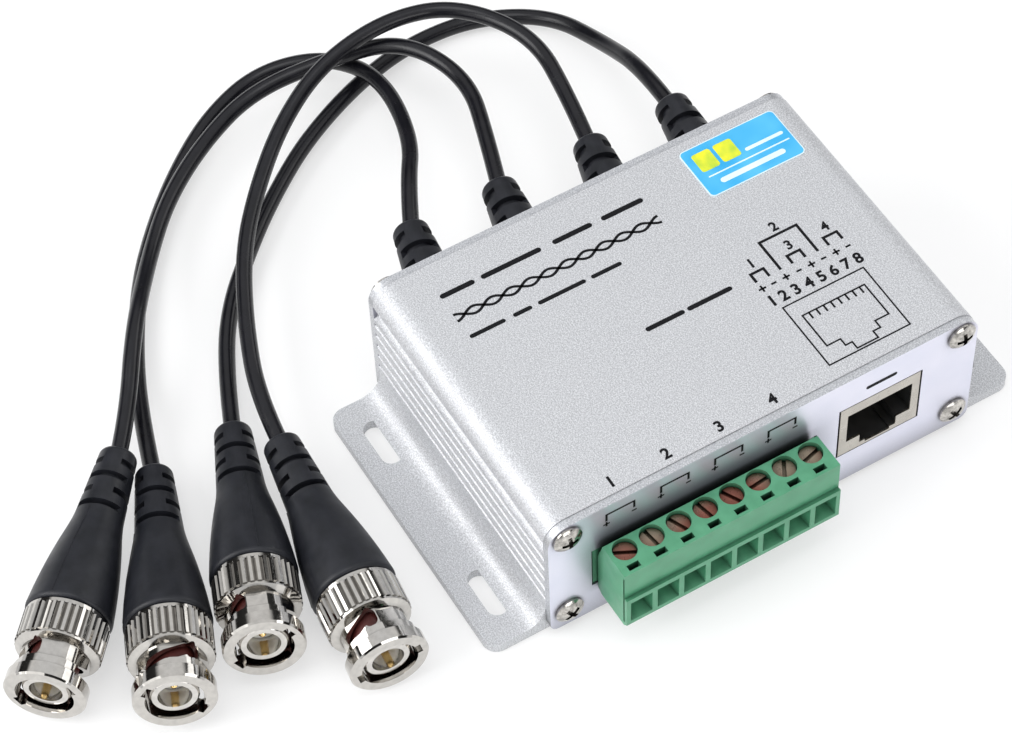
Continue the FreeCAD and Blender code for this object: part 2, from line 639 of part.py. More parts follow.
def terminal_header():
    header = header_block(0, HEADER_BACK_X, HEADER_FRONT_X)
    header = header.cut(header_block(HEADER_WALL, HEADER_BACK_X + HEADER_BACK_WALL,
                                     HEADER_FRONT_X))
    return header.cut([header_pin(y, PIN_HOLE_GAP) for y in WAY_YS])


# Terminal plug
def plug_block():
    half = PLUG_WIDTH / 2
    block = prism_xz((PLUG_BACK_X, PLUG_LOW_Z + PLUG_FOOT_CHAMFER), [
        (PLUG_BACK_X + PLUG_FOOT_CHAMFER, PLUG_LOW_Z),
        (PLUG_FRONT_X - PLUG_FOOT_CHAMFER, PLUG_LOW_Z),
        (PLUG_FRONT_X, PLUG_LOW_Z + PLUG_FOOT_CHAMFER),
        (PLUG_FRONT_X, PLUG_LOW_Z + PLUG_LEDGE_RISE),
        (PLUG_TOP_FRONT_X, PLUG_LOW_Z + PLUG_LEDGE_RISE),
        (PLUG_TOP_FRONT_X, PLUG_HIGH_Z),
        (PLUG_BACK_X + PLUG_BACK_BEVEL, PLUG_HIGH_Z),
        (PLUG_BACK_X, PLUG_HIGH_Z - PLUG_BACK_BEVEL_HEIGHT),
        (PLUG_BACK_X, PLUG_LOW_Z + PLUG_FOOT_CHAMFER),
    ], TERMINAL_CENTRE_Y - half, TERMINAL_CENTRE_Y + half)
    tongue = header_block(HEADER_WALL + TONGUE_GAP, PLUG_BACK_X - TONGUE_LENGTH, PLUG_BACK_X)
    groove_x = PLUG_TOP_FRONT_X - END_GROOVE_SETBACK
    grooves = []
    for side in (-1, 1):
        face_y = TERMINAL_CENTRE_Y + side * half
        low_y, high_y = sorted((face_y, face_y - side * END_GROOVE_DEPTH))
        grooves.append(box(groove_x, groove_x + END_GROOVE_WIDTH, low_y, high_y,
                           PLUG_LOW_Z + PLUG_FOOT_CHAMFER, PLUG_HIGH_Z - PLUG_FOOT_CHAMFER))
    return block.fuse(tongue).removeSplitter().cut(grooves)


def way_rectangle(x, y, half_width, low_z, high_z):
    corners = [Vector(x, y - half_width, low_z), Vector(x, y + half_width, low_z),
               Vector(x, y + half_width, high_z), Vector(x, y - half_width, high_z)]
    return Part.makePolygon(corners + corners[:1])


def way_cavities(y):
    """Room in the plug for one way: wire mouth, cage, screw, socket and test slot."""
    inner_half = CAGE_WIDTH / 2 - CAGE_SHEET
    funnel = Part.makeLoft([
        way_rectangle(PLUG_FRONT_X, y, WIRE_MOUTH_WIDTH / 2, WIRE_MOUTH_LOW_Z, WIRE_MOUTH_HIGH_Z),
        way_rectangle(PLUG_FRONT_X - FUNNEL_DEPTH, y, inner_half,
                      CAGE_LOW_Z + CAGE_SHEET, CAGE_HIGH_Z - CAGE_SHEET),
    ], True, True)
    half = CAGE_WIDTH / 2 + CAGE_GAP
    pocket = box(CAGE_BACK_X - CAGE_GAP, CAGE_FRONT_X + CAGE_GAP, y - half, y + half,
                 CAGE_LOW_Z - CAGE_GAP, CAGE_HIGH_Z + CAGE_GAP)
    well = rod_z(CLAMP_X, y, PLUG_HIGH_Z - CLAMP_WELL_DEPTH, PLUG_HIGH_Z, CLAMP_WELL_RADIUS)
    bore = rod_z(CLAMP_X, y, CAGE_HIGH_Z, PLUG_HIGH_Z - CLAMP_WELL_DEPTH,
                 CLAMP_SHANK_RADIUS + CLAMP_SHANK_GAP)
    socket = box(PLUG_BACK_X - TONGUE_LENGTH, PLUG_BACK_X, y - SOCKET_WIDTH / 2,
                 y + SOCKET_WIDTH / 2, TAB_LOW_Z - CAGE_GAP,
                 PIN_Z + PIN_SIDE / 2 + SOCKET_ROOF_GAP)
    tab_half = TAB_WIDTH / 2 + CAGE_GAP
    passage = box(PLUG_BACK_X, CAGE_BACK_X, y - tab_half, y + tab_half,
                  TAB_LOW_Z - CAGE_GAP, TAB_HIGH_Z + CAGE_GAP)
    test_y = y - TEST_SLOT_OFFSET
    test_x = PLUG_TOP_FRONT_X - TEST_SLOT_SETBACK
    test = box(test_x - TEST_SLOT_WIDTH / 2, test_x + TEST_SLOT_WIDTH / 2,
               test_y - TEST_SLOT_LENGTH / 2, test_y + TEST_SLOT_LENGTH / 2,
               PLUG_HIGH_Z - TEST_SLOT_DEPTH, PLUG_HIGH_Z)
    return [funnel, pocket, well, bore, socket, passage, test]


def terminal_plug():
    plug = plug_block()
    for y in WAY_YS:
        plug = plug.cut(way_cavities(y))
    return plug


def clamp_cage(y):
    half = CAGE_WIDTH / 2
    cage = box(CAGE_BACK_X, CAGE_FRONT_X, y - half, y + half, CAGE_LOW_Z, CAGE_HIGH_Z)
    cage = cage.cut(box(CAGE_BACK_X, CAGE_FRONT_X, y - half + CAGE_SHEET, y + half - CAGE_SHEET,
                        CAGE_LOW_Z + CAGE_SHEET, CAGE_HIGH_Z - CAGE_SHEET))
    return cage.cut(rod_z(CLAMP_X, y, CAGE_HIGH_Z - CAGE_SHEET, CAGE_HIGH_Z,
                          CLAMP_SHANK_RADIUS + CAGE_GAP))


def clamp_screw(y, angle):
    head_low_z = PLUG_HIGH_Z - CLAMP_WELL_DEPTH
    head_high_z = head_low_z + CLAMP_HEAD_HEIGHT
    head = rod_z(CLAMP_X, y, head_low_z, head_high_z, CLAMP_HEAD_RADIUS)
    shank = rod_z(CLAMP_X, y, TAB_HIGH_Z + CAGE_GAP / 2, head_low_z, CLAMP_SHANK_RADIUS)
    reach = CLAMP_WELL_RADIUS
    drive = box(-reach, reach, -CLAMP_DRIVE_WIDTH / 2, CLAMP_DRIVE_WIDTH / 2,
                head_high_z - CLAMP_DRIVE_DEPTH, head_high_z)
    drive = put(drive, Vector(CLAMP_X, y, 0), angle)
    return head.fuse(shank).removeSplitter().cut(drive)


def socket_contact(y):
    """Two leaves that grip a pin, and the tab that reaches under the clamp screw."""
    leaf_high_z = PIN_Z + PIN_SIDE / 2
    front_x = PLUG_BACK_X - TONGUE_LENGTH + LEAF_THICKNESS
    base_x = HEADER_FRONT_X - PIN_END_SETBACK + LEAF_GAP
    inner = PIN_SIDE / 2 + LEAF_GAP
    outer = inner + LEAF_THICKNESS
    base = box(base_x, base_x + LEAF_THICKNESS, y - outer, y + outer, TAB_LOW_Z, leaf_high_z)
    tab = box(base_x, CAGE_FRONT_X, y - TAB_WIDTH / 2, y + TAB_WIDTH / 2,
              TAB_LOW_Z, TAB_HIGH_Z)
    leaves = [box(front_x, base_x, y + inner, y + outer, TAB_LOW_Z, leaf_high_z),
              box(front_x, base_x, y - outer, y - inner, TAB_LOW_Z, leaf_high_z)]
    return base.fuse(leaves + [tab]).removeSplitter()


# Label
def label_sticker():
    label = box(LABEL_LOW_X, LABEL_LOW_X + LABEL_LENGTH_X, LABEL_HIGH_Y - LABEL_LENGTH_Y,
                LABEL_HIGH_Y, CASE_HEIGHT, CASE_HEIGHT + LABEL_THICKNESS)
    upright = [edge for edge in label.Edges if edge.BoundBox.ZLength > LABEL_THICKNESS / 2]
    return label.makeFillet(LABEL_CORNER_RADIUS, upright)


# Sleeves with windows
def sector_x(low_x, high_x, radius, span, turn):
    """Sector of a rod round the X axis, its middle turned from the top."""
    sector = Part.makeCylinder(radius, high_x - low_x, Vector(0, 0, 0), Vector(0, 0, 1), span)
    sector.rotate(Vector(0, 0, 0), Vector(0, 1, 0), 90)
    sector.rotate(Vector(0, 0, 0), Vector(1, 0, 0), 180 - span / 2 + turn)
    sector.translate(Vector(low_x, 0, 0))
    return sector


def windows(starts, length, reach):
    """Two recesses a row round the X axis, each row a quarter turn from the one before."""
    cuts = []
    for row, start in enumerate(starts):
        core = rod_x(start, start + length, 0, 0, WINDOW_CORE_RADIUS)
        for side in (0, 180):
            turn = side + 90 * (row % 2)
            cuts.append(sector_x(start, start + length, reach, WINDOW_SPAN, turn).cut(core))
    return cuts


def case_sleeve(lead):
    """Neck and flanges in the rear plate, then the tapered relief on its own heading."""
    yaw = LEADS[lead][0]
    y = LEAD_YS[lead]
    inner_x = REAR_FACE_X + PLATE_THICKNESS
    neck = rod_x(REAR_FACE_X, inner_x, y, LEAD_Z, NECK_RADIUS)
    flange = rod_x(inner_x, inner_x + SLEEVE_FLANGE_THICKNESS, y, LEAD_Z, SLEEVE_FLANGE_RADIUS)
    collar = rod_x(REAR_FACE_X - COLLAR_LENGTH, REAR_FACE_X, y, LEAD_Z, COLLAR_RADIUS)
    tip = SLEEVE_TIP_ROUNDING
    cone = turned((-SLEEVE_SUNK, 0), [
        (-SLEEVE_SUNK, SLEEVE_ROOT_RADIUS),
        (SLEEVE_LENGTH - tip, SLEEVE_TIP_RADIUS),
        quarter(SLEEVE_LENGTH - tip, SLEEVE_TIP_RADIUS, SLEEVE_LENGTH, SLEEVE_TIP_RADIUS - tip,
                SLEEVE_LENGTH - tip, SLEEVE_TIP_RADIUS - tip),
        (SLEEVE_LENGTH, 0),
        (-SLEEVE_SUNK, 0),
    ])
    cone = cone.cut(windows(SLEEVE_WINDOW_STARTS, WINDOW_LENGTH, WINDOW_REACH))
    root = Vector(REAR_FACE_X - COLLAR_LENGTH, y, LEAD_Z)
    cone = put(cone, root, 180 - yaw)
    behind = box(REAR_FACE_X - COLLAR_LENGTH / 2, 0, y - WINDOW_REACH, y + WINDOW_REACH,
                 LEAD_Z - WINDOW_REACH, LEAD_Z + WINDOW_REACH)
    return neck.fuse([flange, collar, cone.cut(behind)]).removeSplitter()


def plug_sleeve():
    """Bell-shaped sleeve from the coupling ring to the cord, drawn forwards along +X."""
    start = -RING_LENGTH - PLUG_SLEEVE_BACK_GAP
    tail = start - PLUG_SLEEVE_LENGTH
    rim = PLUG_SLEEVE_RIM_ROUNDING
    tip = PLUG_SLEEVE_TIP_ROUNDING
    flank = [Vector(start - distance, 0, radius) for distance, radius in PLUG_SLEEVE_OUTLINE]
    curve = Part.BSplineCurve()
    curve.interpolate(flank)
    rim_radius = PLUG_SLEEVE_OUTLINE[0][1]
    rim_steps = [quarter(start, rim_radius - rim, start - rim, rim_radius,
                         start - rim, rim_radius - rim)]
    tip_steps = [quarter(tail + tip, PLUG_SLEEVE_TIP_RADIUS, tail, PLUG_SLEEVE_TIP_RADIUS - tip,
                         tail + tip, PLUG_SLEEVE_TIP_RADIUS - tip)]
    edges = turned_edges((-BODY_END, 0), [
        (-BODY_END, BODY_HUB_RADIUS), (start, BODY_HUB_RADIUS), (start, rim_radius - rim),
    ] + rim_steps + [(flank[0].x, flank[0].z)])
    edges.append(curve.toShape())
    edges += turned_edges((flank[-1].x, flank[-1].z), [
        (tail + tip, PLUG_SLEEVE_TIP_RADIUS),
    ] + tip_steps + [(tail, 0), (-BODY_END, 0)])
    face = Part.Face(Part.Wire(edges))
    sleeve = face.revolve(Vector(0, 0, 0), Vector(1, 0, 0), 360)
    starts = [start - distance - PLUG_WINDOW_LENGTH for distance in PLUG_SLEEVE_WINDOW_STARTS]
    return sleeve.cut(windows(starts, PLUG_WINDOW_LENGTH, WINDOW_REACH))


# Bayonet plug, drawn with its front face at x = 0 and its body towards -X
def knurled_band():
    """Straight knurl: one star-shaped outline drawn along the axis."""
    points = []
    for tooth in range(KNURL_COUNT):
        for share, radius in KNURL_TOOTH_STEPS:
            angle = 2 * math.pi * (tooth + share) / KNURL_COUNT
            points.append(Vector(-RING_KNURL_END, radius * math.cos(angle),
                                 radius * math.sin(angle)))
    face = Part.Face(Part.makePolygon(points + points[:1]))
    return face.extrude(Vector(RING_KNURL_END - RING_KNURL_START, 0, 0))


def flats(low_x, high_x, distance):
    """Prism with flats at a distance from the axis, for trimming a turned band."""
    reach = distance / math.cos(math.pi / FLAT_COUNT)
    points = []
    for corner in range(FLAT_COUNT):
        angle = 2 * math.pi * (corner + 0.5) / FLAT_COUNT
        points.append(Vector(low_x, reach * math.cos(angle), reach * math.sin(angle)))
    face = Part.Face(Part.makePolygon(points + points[:1]))
    return face.extrude(Vector(high_x - low_x, 0, 0))


def bayonet_slot():
    """J-shaped slot: a helical run from near the front to a hook that opens forwards."""
    rise = BAYONET_END - BAYONET_START
    pitch = rise * 360 / BAYONET_TURN
    low_radius = RING_BORE_RADIUS - BAYONET_OVERCUT
    high_radius = RING_STEP_RADIUS + BAYONET_OVERCUT
    middle = (low_radius + high_radius) / 2
    half = BAYONET_WIDTH / 2
    path = Part.Wire(Part.makeHelix(pitch, rise, middle).Edges)
    corners = [Vector(low_radius, 0, -half), Vector(high_radius, 0, -half),
               Vector(high_radius, 0, half), Vector(low_radius, 0, half)]
    run = path.makePipeShell([Part.makePolygon(corners + corners[:1])], True, True)
    depth = high_radius - low_radius
    hook = [Part.makeCylinder(half, depth, Vector(low_radius, 0, lift), Vector(1, 0, 0))
            for lift in (0, BAYONET_HOOK)]
    mouth = Part.makeCylinder(half, depth, Vector(low_radius, 0, 0), Vector(1, 0, 0))
    mouth.rotate(Vector(0, 0, 0), Vector(0, 0, 1), BAYONET_TURN)
    mouth.translate(Vector(0, 0, rise))
    web = box(low_radius, high_radius, -half, half, 0, BAYONET_HOOK)
    slot_solid = run.fuse(hook + [mouth, web])
    slot_solid.rotate(Vector(0, 0, 0), Vector(0, 1, 0), 90)
    slot_solid.translate(Vector(-BAYONET_END, 0, 0))
    return slot_solid


def coupling_ring():
    ring = turned((0, 0), [
        (0, RING_FLANGE_RADIUS - RIM_CHAMFER), (-RIM_CHAMFER, RING_FLANGE_RADIUS),
        (-RING_FLANGE_END, RING_FLANGE_RADIUS), (-RING_FLANGE_END, RING_STEP_RADIUS),
        (-RING_STEP_END, RING_STEP_RADIUS), (-RING_STEP_END, RING_WAIST_RADIUS),
        (-RING_WAIST_END, RING_WAIST_RADIUS), (-RING_BEVEL_END, RING_GRIP_RADIUS),
        (-RING_KNURL_START, RING_GRIP_RADIUS), (-RING_KNURL_START, KNURL_CORE_RADIUS),
        (-RING_KNURL_END, KNURL_CORE_RADIUS), (-RING_KNURL_END, RING_GRIP_RADIUS),
        (-RING_LENGTH, RING_GRIP_RADIUS), (-RING_LENGTH, 0), (0, 0),
    ])
    front = rod_x(-RING_FLANGE_END, 0, 0, 0, RING_FLANGE_RADIUS + 1)
    back = rod_x(-RING_LENGTH, -RING_WAIST_END, 0, 0, KNURL_RADIUS + 1)
    step = flats(-RING_STEP_END, -RING_FLANGE_END, STEP_FLAT_DISTANCE)
    waist = flats(-RING_WAIST_END, -RING_STEP_END, WAIST_FLAT_DISTANCE)
    ring = ring.common(front.fuse([back, step, waist]))
    ring = ring.fuse(knurled_band())
    ring = ring.cut([
        rod_x(-RING_BORE_END, 0, 0, 0, RING_BORE_RADIUS),
        rod_x(-RING_SEAT_END, -RING_BORE_END, 0, 0, SEAT_RADIUS),
        rod_x(-RING_LENGTH, -RING_SEAT_END, 0, 0, REAR_BORE_RADIUS),
    ])
    half = ENTRY_WIDTH / 2
    for side in (0, 180):
        path = bayonet_slot()
        path.rotate(Vector(0, 0, 0), Vector(1, 0, 0), side)
        entry = box(-BAYONET_START, 0, -half, half, 0, ENTRY_RADIUS)
        entry.rotate(Vector(0, 0, 0), Vector(1, 0, 0), side + BAYONET_TURN)
        ring = ring.cut(path).cut(entry)
    return ring


def plug_body():
    """Contact sleeve, the flange that holds the coupling ring, and the hub in the sleeve."""
    return turned((-CONTACT_SLEEVE_START, CONTACT_SLEEVE_BORE_RADIUS), [
        (-CONTACT_SLEEVE_START, CONTACT_SLEEVE_RADIUS - RIM_CHAMFER),
        (-CONTACT_SLEEVE_START - RIM_CHAMFER, CONTACT_SLEEVE_RADIUS),
        (-BODY_FLANGE_START, CONTACT_SLEEVE_RADIUS),
        (-BODY_FLANGE_START, BODY_FLANGE_RADIUS),
        (-BODY_FLANGE_END, BODY_FLANGE_RADIUS),
        (-BODY_FLANGE_END, BODY_NECK_RADIUS),
        (-BODY_HUB_START, BODY_NECK_RADIUS),
        (-BODY_HUB_START, BODY_HUB_RADIUS),
        (-BODY_END, BODY_HUB_RADIUS),
        (-BODY_END, 0),
        (-BODY_BORE_END, 0),
        (-BODY_BORE_END, CONTACT_SLEEVE_BORE_RADIUS),
        (-CONTACT_SLEEVE_START, CONTACT_SLEEVE_BORE_RADIUS),
    ])


def plug_seal():
    """Thin rubber sleeve on the contact sleeve, with a thicker foot at its back."""
    return turned((-SEAL_START, CONTACT_SLEEVE_RADIUS), [
        (-SEAL_START, CONTACT_SLEEVE_RADIUS + SEAL_SKIN),
        (-BODY_FLANGE_START + SEAL_FOOT_LENGTH, CONTACT_SLEEVE_RADIUS + SEAL_SKIN),
        (-BODY_FLANGE_START + SEAL_FOOT_LENGTH, SEAL_FOOT_RADIUS),
        (-BODY_FLANGE_START, SEAL_FOOT_RADIUS),
        (-BODY_FLANGE_START, CONTACT_SLEEVE_RADIUS),
        (-SEAL_START, CONTACT_SLEEVE_RADIUS),
    ])


def spring_washer():
    return ring_x(-BODY_FLANGE_START, -BODY_FLANGE_START + WASHER_THICKNESS,
                  WASHER_RADIUS, WASHER_BORE_RADIUS)


def plug_insulator():
    bore = PIN_RADIUS + PIN_BORE_GAP
    return turned((-INSULATOR_START, INSULATOR_DISH_RADIUS), [
        (-INSULATOR_START, INSULATOR_RADIUS),
        (-BODY_BORE_END, INSULATOR_RADIUS),
        (-BODY_BORE_END, bore),
        (-INSULATOR_START - INSULATOR_DISH_DEPTH, bore),
        (-INSULATOR_START, INSULATOR_DISH_RADIUS),
    ])


def plug_pin():
    return turned((-PIN_START, 0), [
        ((-PIN_START - PIN_TIP_MIDDLE[0], PIN_TIP_MIDDLE[1]),
         (-PIN_START - PIN_TIP, PIN_RADIUS)),
        (-BODY_BORE_END, PIN_RADIUS),
        (-BODY_BORE_END, 0),
        (-PIN_START, 0),
    ])


# Leads
def direction(heading, rise=0.0):
    """Unit vector at a heading about Z, raised out of the level plane."""
    turn = math.radians(heading)
    lift = math.radians(rise)
    return Vector(math.cos(turn) * math.cos(lift), math.sin(turn) * math.cos(lift),
                  math.sin(lift))


def cord_points(lead):
    """Route of a cord, from the tip of its case sleeve to the tail of its plug."""
    yaw, front, heading, rise, _, first_run, last_run, points = LEADS[lead]
    out = direction(180 - yaw)
    forward = direction(heading, rise)
    root = Vector(REAR_FACE_X - COLLAR_LENGTH, LEAD_YS[lead], LEAD_Z)
    start = root + out * SLEEVE_LENGTH
    length = RING_LENGTH + PLUG_SLEEVE_BACK_GAP + PLUG_SLEEVE_LENGTH
    tail = Vector(*front) - forward * length
    middle = [Vector(*point) for point in points]
    return [start, start + out * first_run] + middle + [tail - forward * last_run, tail]


def route_wire(points, share):
    """Straight runs joined by tangent arcs that take a share of the shorter run."""
    edges = []
    radii = []
    here = points[0]
    for before, corner, after in zip(points, points[1:], points[2:]):
        back = (before - corner).normalize()
        ahead = (after - corner).normalize()
        trim = share * min((before - corner).Length, (after - corner).Length)
        half_turn = (math.pi - back.getAngle(ahead)) / 2
        radius = trim / math.tan(half_turn)
        inwards = (back + ahead).normalize()
        middle = corner + inwards * (radius / math.cos(half_turn) - radius)
        entry = corner + back * trim
        leaving = corner + ahead * trim
        edges.append(Part.LineSegment(here, entry).toShape())
        edges.append(Part.Arc(entry, middle, leaving).toShape())
        radii.append(radius)
        here = leaving
    edges.append(Part.LineSegment(here, points[-1]).toShape())
    return Part.Wire(edges), radii


def tube(points, radius, share):
    wire, radii = route_wire(points, share)
    section = Part.Wire(Part.makeCircle(radius, points[0], points[1] - points[0]))
    solid = wire.makePipeShell([section], True, False)
    return solid, wire.Length, radii


def cord(lead):
    solid, length, radii = tube(cord_points(lead), CORD_RADIUS, CORD_ARC_SHARE)
    section = math.pi * CORD_RADIUS ** 2
    print("cord", lead + 1, "length %.1f" % length,
          "volume over section times length %.4f" % (solid.Volume / (section * length)),
          "radii", " ".join("%.1f" % radius for radius in radii))
    return solid


def lead_tail(y):
    """Inner conductor of a lead, from its sleeve down to the board."""
    start_x = REAR_FACE_X + PLATE_THICKNESS + SLEEVE_FLANGE_THICKNESS
    end_x = start_x + TAIL_RUN
    points = [Vector(start_x, y, LEAD_Z), Vector(end_x, y, LEAD_Z), Vector(end_x, y, BOARD_TOP_Z)]
    share = TAIL_BEND_RADIUS / min(TAIL_RUN, LEAD_Z - BOARD_TOP_Z)
    return tube(points, TAIL_RADIUS, share)[0]


def save_lead(lead):
    _, front, heading, rise, roll, _, _, _ = LEADS[lead]
    number = str(lead + 1)
    ring = COUPLING_RING.copy()
    ring.rotate(Vector(0, 0, 0), Vector(1, 0, 0), roll)
    save("case_sleeve_" + number, [case_sleeve(lead)])
    save("cord_" + number, [cord(lead)])
    for name, shape in (("coupling_ring_", ring), ("plug_body_", plug_body()),
                        ("plug_seal_", plug_seal()), ("spring_washer_", spring_washer()),
                        ("plug_insulator_", plug_insulator()), ("plug_pin_", plug_pin()),
                        ("plug_sleeve_", PLUG_SLEEVE)):
        save(name + number, [put(shape, Vector(*front), heading, rise)])


save("housing", [housing()])
save("front_plate", [front_plate()])
save("rear_plate", [rear_plate()])
save("front_plate_screws", [plate_screw(y, z) for y, z in CHANNELS])
save("rear_plate_screws", [mirrored_x(plate_screw(y, z)) for y, z in CHANNELS])
save("circuit_board", [circuit_board()])
save("balun_transformers", [transformer(y) for y in LEAD_YS])
save("lead_tails", [lead_tail(y) for y in LEAD_YS])
save("network_jack_shell", [network_jack_shell()])
save("network_jack_insert", [network_jack_insert()])
save("network_jack_contacts", [network_jack_contact(index) for index in range(CONTACT_COUNT)])
save("terminal_header", [terminal_header()])
save("header_pins", [header_pin(y) for y in WAY_YS])
save("terminal_plug", [terminal_plug()])
save("clamp_cages", [clamp_cage(y) for y in WAY_YS])
save("clamp_screws", [clamp_screw(y, angle) for y, angle in zip(WAY_YS, CLAMP_DRIVE_ANGLES)])
save("socket_contacts", [socket_contact(y) for y in WAY_YS])
save("label_sticker", [label_sticker()])

COUPLING_RING = coupling_ring()
PLUG_SLEEVE = plug_sleeve()
for lead_index in range(len(LEADS)):
    save_lead(lead_index)
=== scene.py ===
"""Looks of a four-channel video balun: finishes, leads, print, light and camera."""
import json
import math

import bpy
import bmesh
from mathutils import Matrix, Vector


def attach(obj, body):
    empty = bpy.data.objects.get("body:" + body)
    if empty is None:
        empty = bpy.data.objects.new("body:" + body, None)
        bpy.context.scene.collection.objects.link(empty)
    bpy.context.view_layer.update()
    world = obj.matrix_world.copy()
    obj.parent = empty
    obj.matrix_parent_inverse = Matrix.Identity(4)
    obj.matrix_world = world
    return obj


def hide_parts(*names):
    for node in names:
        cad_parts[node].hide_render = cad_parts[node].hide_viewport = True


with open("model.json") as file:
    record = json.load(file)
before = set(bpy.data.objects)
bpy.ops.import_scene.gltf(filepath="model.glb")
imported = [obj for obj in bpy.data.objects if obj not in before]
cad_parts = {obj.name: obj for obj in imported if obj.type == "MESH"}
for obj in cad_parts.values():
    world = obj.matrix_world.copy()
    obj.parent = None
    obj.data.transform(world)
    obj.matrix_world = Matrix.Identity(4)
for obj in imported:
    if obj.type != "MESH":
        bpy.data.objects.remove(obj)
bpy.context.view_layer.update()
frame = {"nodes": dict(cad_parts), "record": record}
NODES = frame["nodes"]
MM = 0.001


def extent(name):
    """The lowest and the highest corner of a node's box, in millimetres."""
    node = NODES[name]
    corners = [node.matrix_world @ Vector(corner) / MM for corner in node.bound_box]
    low = Vector([min(corner[axis] for corner in corners) for axis in range(3)])
    high = Vector([max(corner[axis] for corner in corners) for axis in range(3)])
    return low, high


# Faces of the model that print and film are laid on, in millimetres
CASE_TOP_Z = extent("housing")[1].z
FRONT_FACE_X = extent("front_plate")[1].x
LABEL_LOW, LABEL_HIGH = extent("label_sticker")

# One row a lead, in millimetres and degrees: front, heading and rise of the plug, turn of its
# sleeve's seam away from the top, length between the two sleeves, and the route of the cord from
# inside the case sleeve to inside the plug sleeve
CORD_DIAMETER = 3.0
LEADS = (
    dict(front=(13.17, -101.74, 9.06), heading=-22.1, rise=5.95, seam_turn=75.0, length=166.5,
         route=((-45.4, -24.6, 14.5), (-55.0, -20.0, 14.5), (-67.0, -12.5, 11.8),
                (-86.0, -8.7, 7.7), (-98.4, -14.0, 4.3), (-103.0, -25.8, 2.5),
                (-99.0, -38.2, 1.6), (-90.1, -49.7, 1.7), (-80.1, -59.5, 1.7),
                (-70.0, -67.4, 1.7), (-55.8, -75.2, 1.6), (-41.6, -80.7, 2.9),
                (-30.0, -84.2, 4.2))),
    dict(front=(0.59, -119.15, 7.79), heading=-40.9, rise=1.1, seam_turn=15.0, length=157.8,
         route=((-45.5, -6.6, 14.5), (-56.6, -2.6, 14.2), (-73.7, 3.0, 12.0),
                (-88.3, -2.5, 11.8), (-93.7, -15.3, 8.8), (-95.8, -30.5, 6.9),
                (-90.9, -43.2, 5.4), (-82.8, -54.7, 4.9), (-71.6, -64.1, 5.7),
                (-56.0, -74.3, 10.2), (-42.6, -82.6, 6.9), (-34.8, -88.5, 6.9))),
    dict(front=(24.47, -68.7, 7.67), heading=-6.6, rise=0.6, seam_turn=95.0, length=153.7,
         route=((-45.5, 12.1, 14.5), (-57.5, 14.9, 14.4), (-74.0, 17.1, 15.0),
                (-87.5, 8.6, 15.3), (-91.0, -4.2, 15.7), (-89.2, -18.9, 13.9),
                (-82.9, -30.8, 11.0), (-73.6, -41.0, 8.4), (-63.1, -49.4, 7.3),
                (-48.2, -56.7, 7.6), (-33.6, -62.0, 7.1), (-22.0, -63.3, 7.2))),
    dict(front=(12.32, -85.03, 9.42), heading=-20.8, rise=7.2, seam_turn=-12.0, length=167.1,
         route=((-45.6, 29.4, 14.5), (-57.3, 30.3, 13.7), (-72.6, 30.9, 6.0),
                (-86.0, 27.8, 2.5), (-93.9, 15.9, 1.6), (-94.8, 2.1, 1.6),
                (-90.8, -11.3, 2.4), (-84.2, -25.4, 2.1), (-76.7, -35.9, 1.8),
                (-68.2, -45.5, 1.9), (-56.6, -56.7, 1.6), (-41.7, -64.4, 2.1),
                (-31.1, -68.5, 3.5))),
)


# Materials. Most values of a noise lie between its start and its end.
NOISE_START = 0.3
NOISE_END = 0.7
# Samples of the ambient occlusion that paints shade into recesses
RECESS_SHADE_SAMPLES = 8


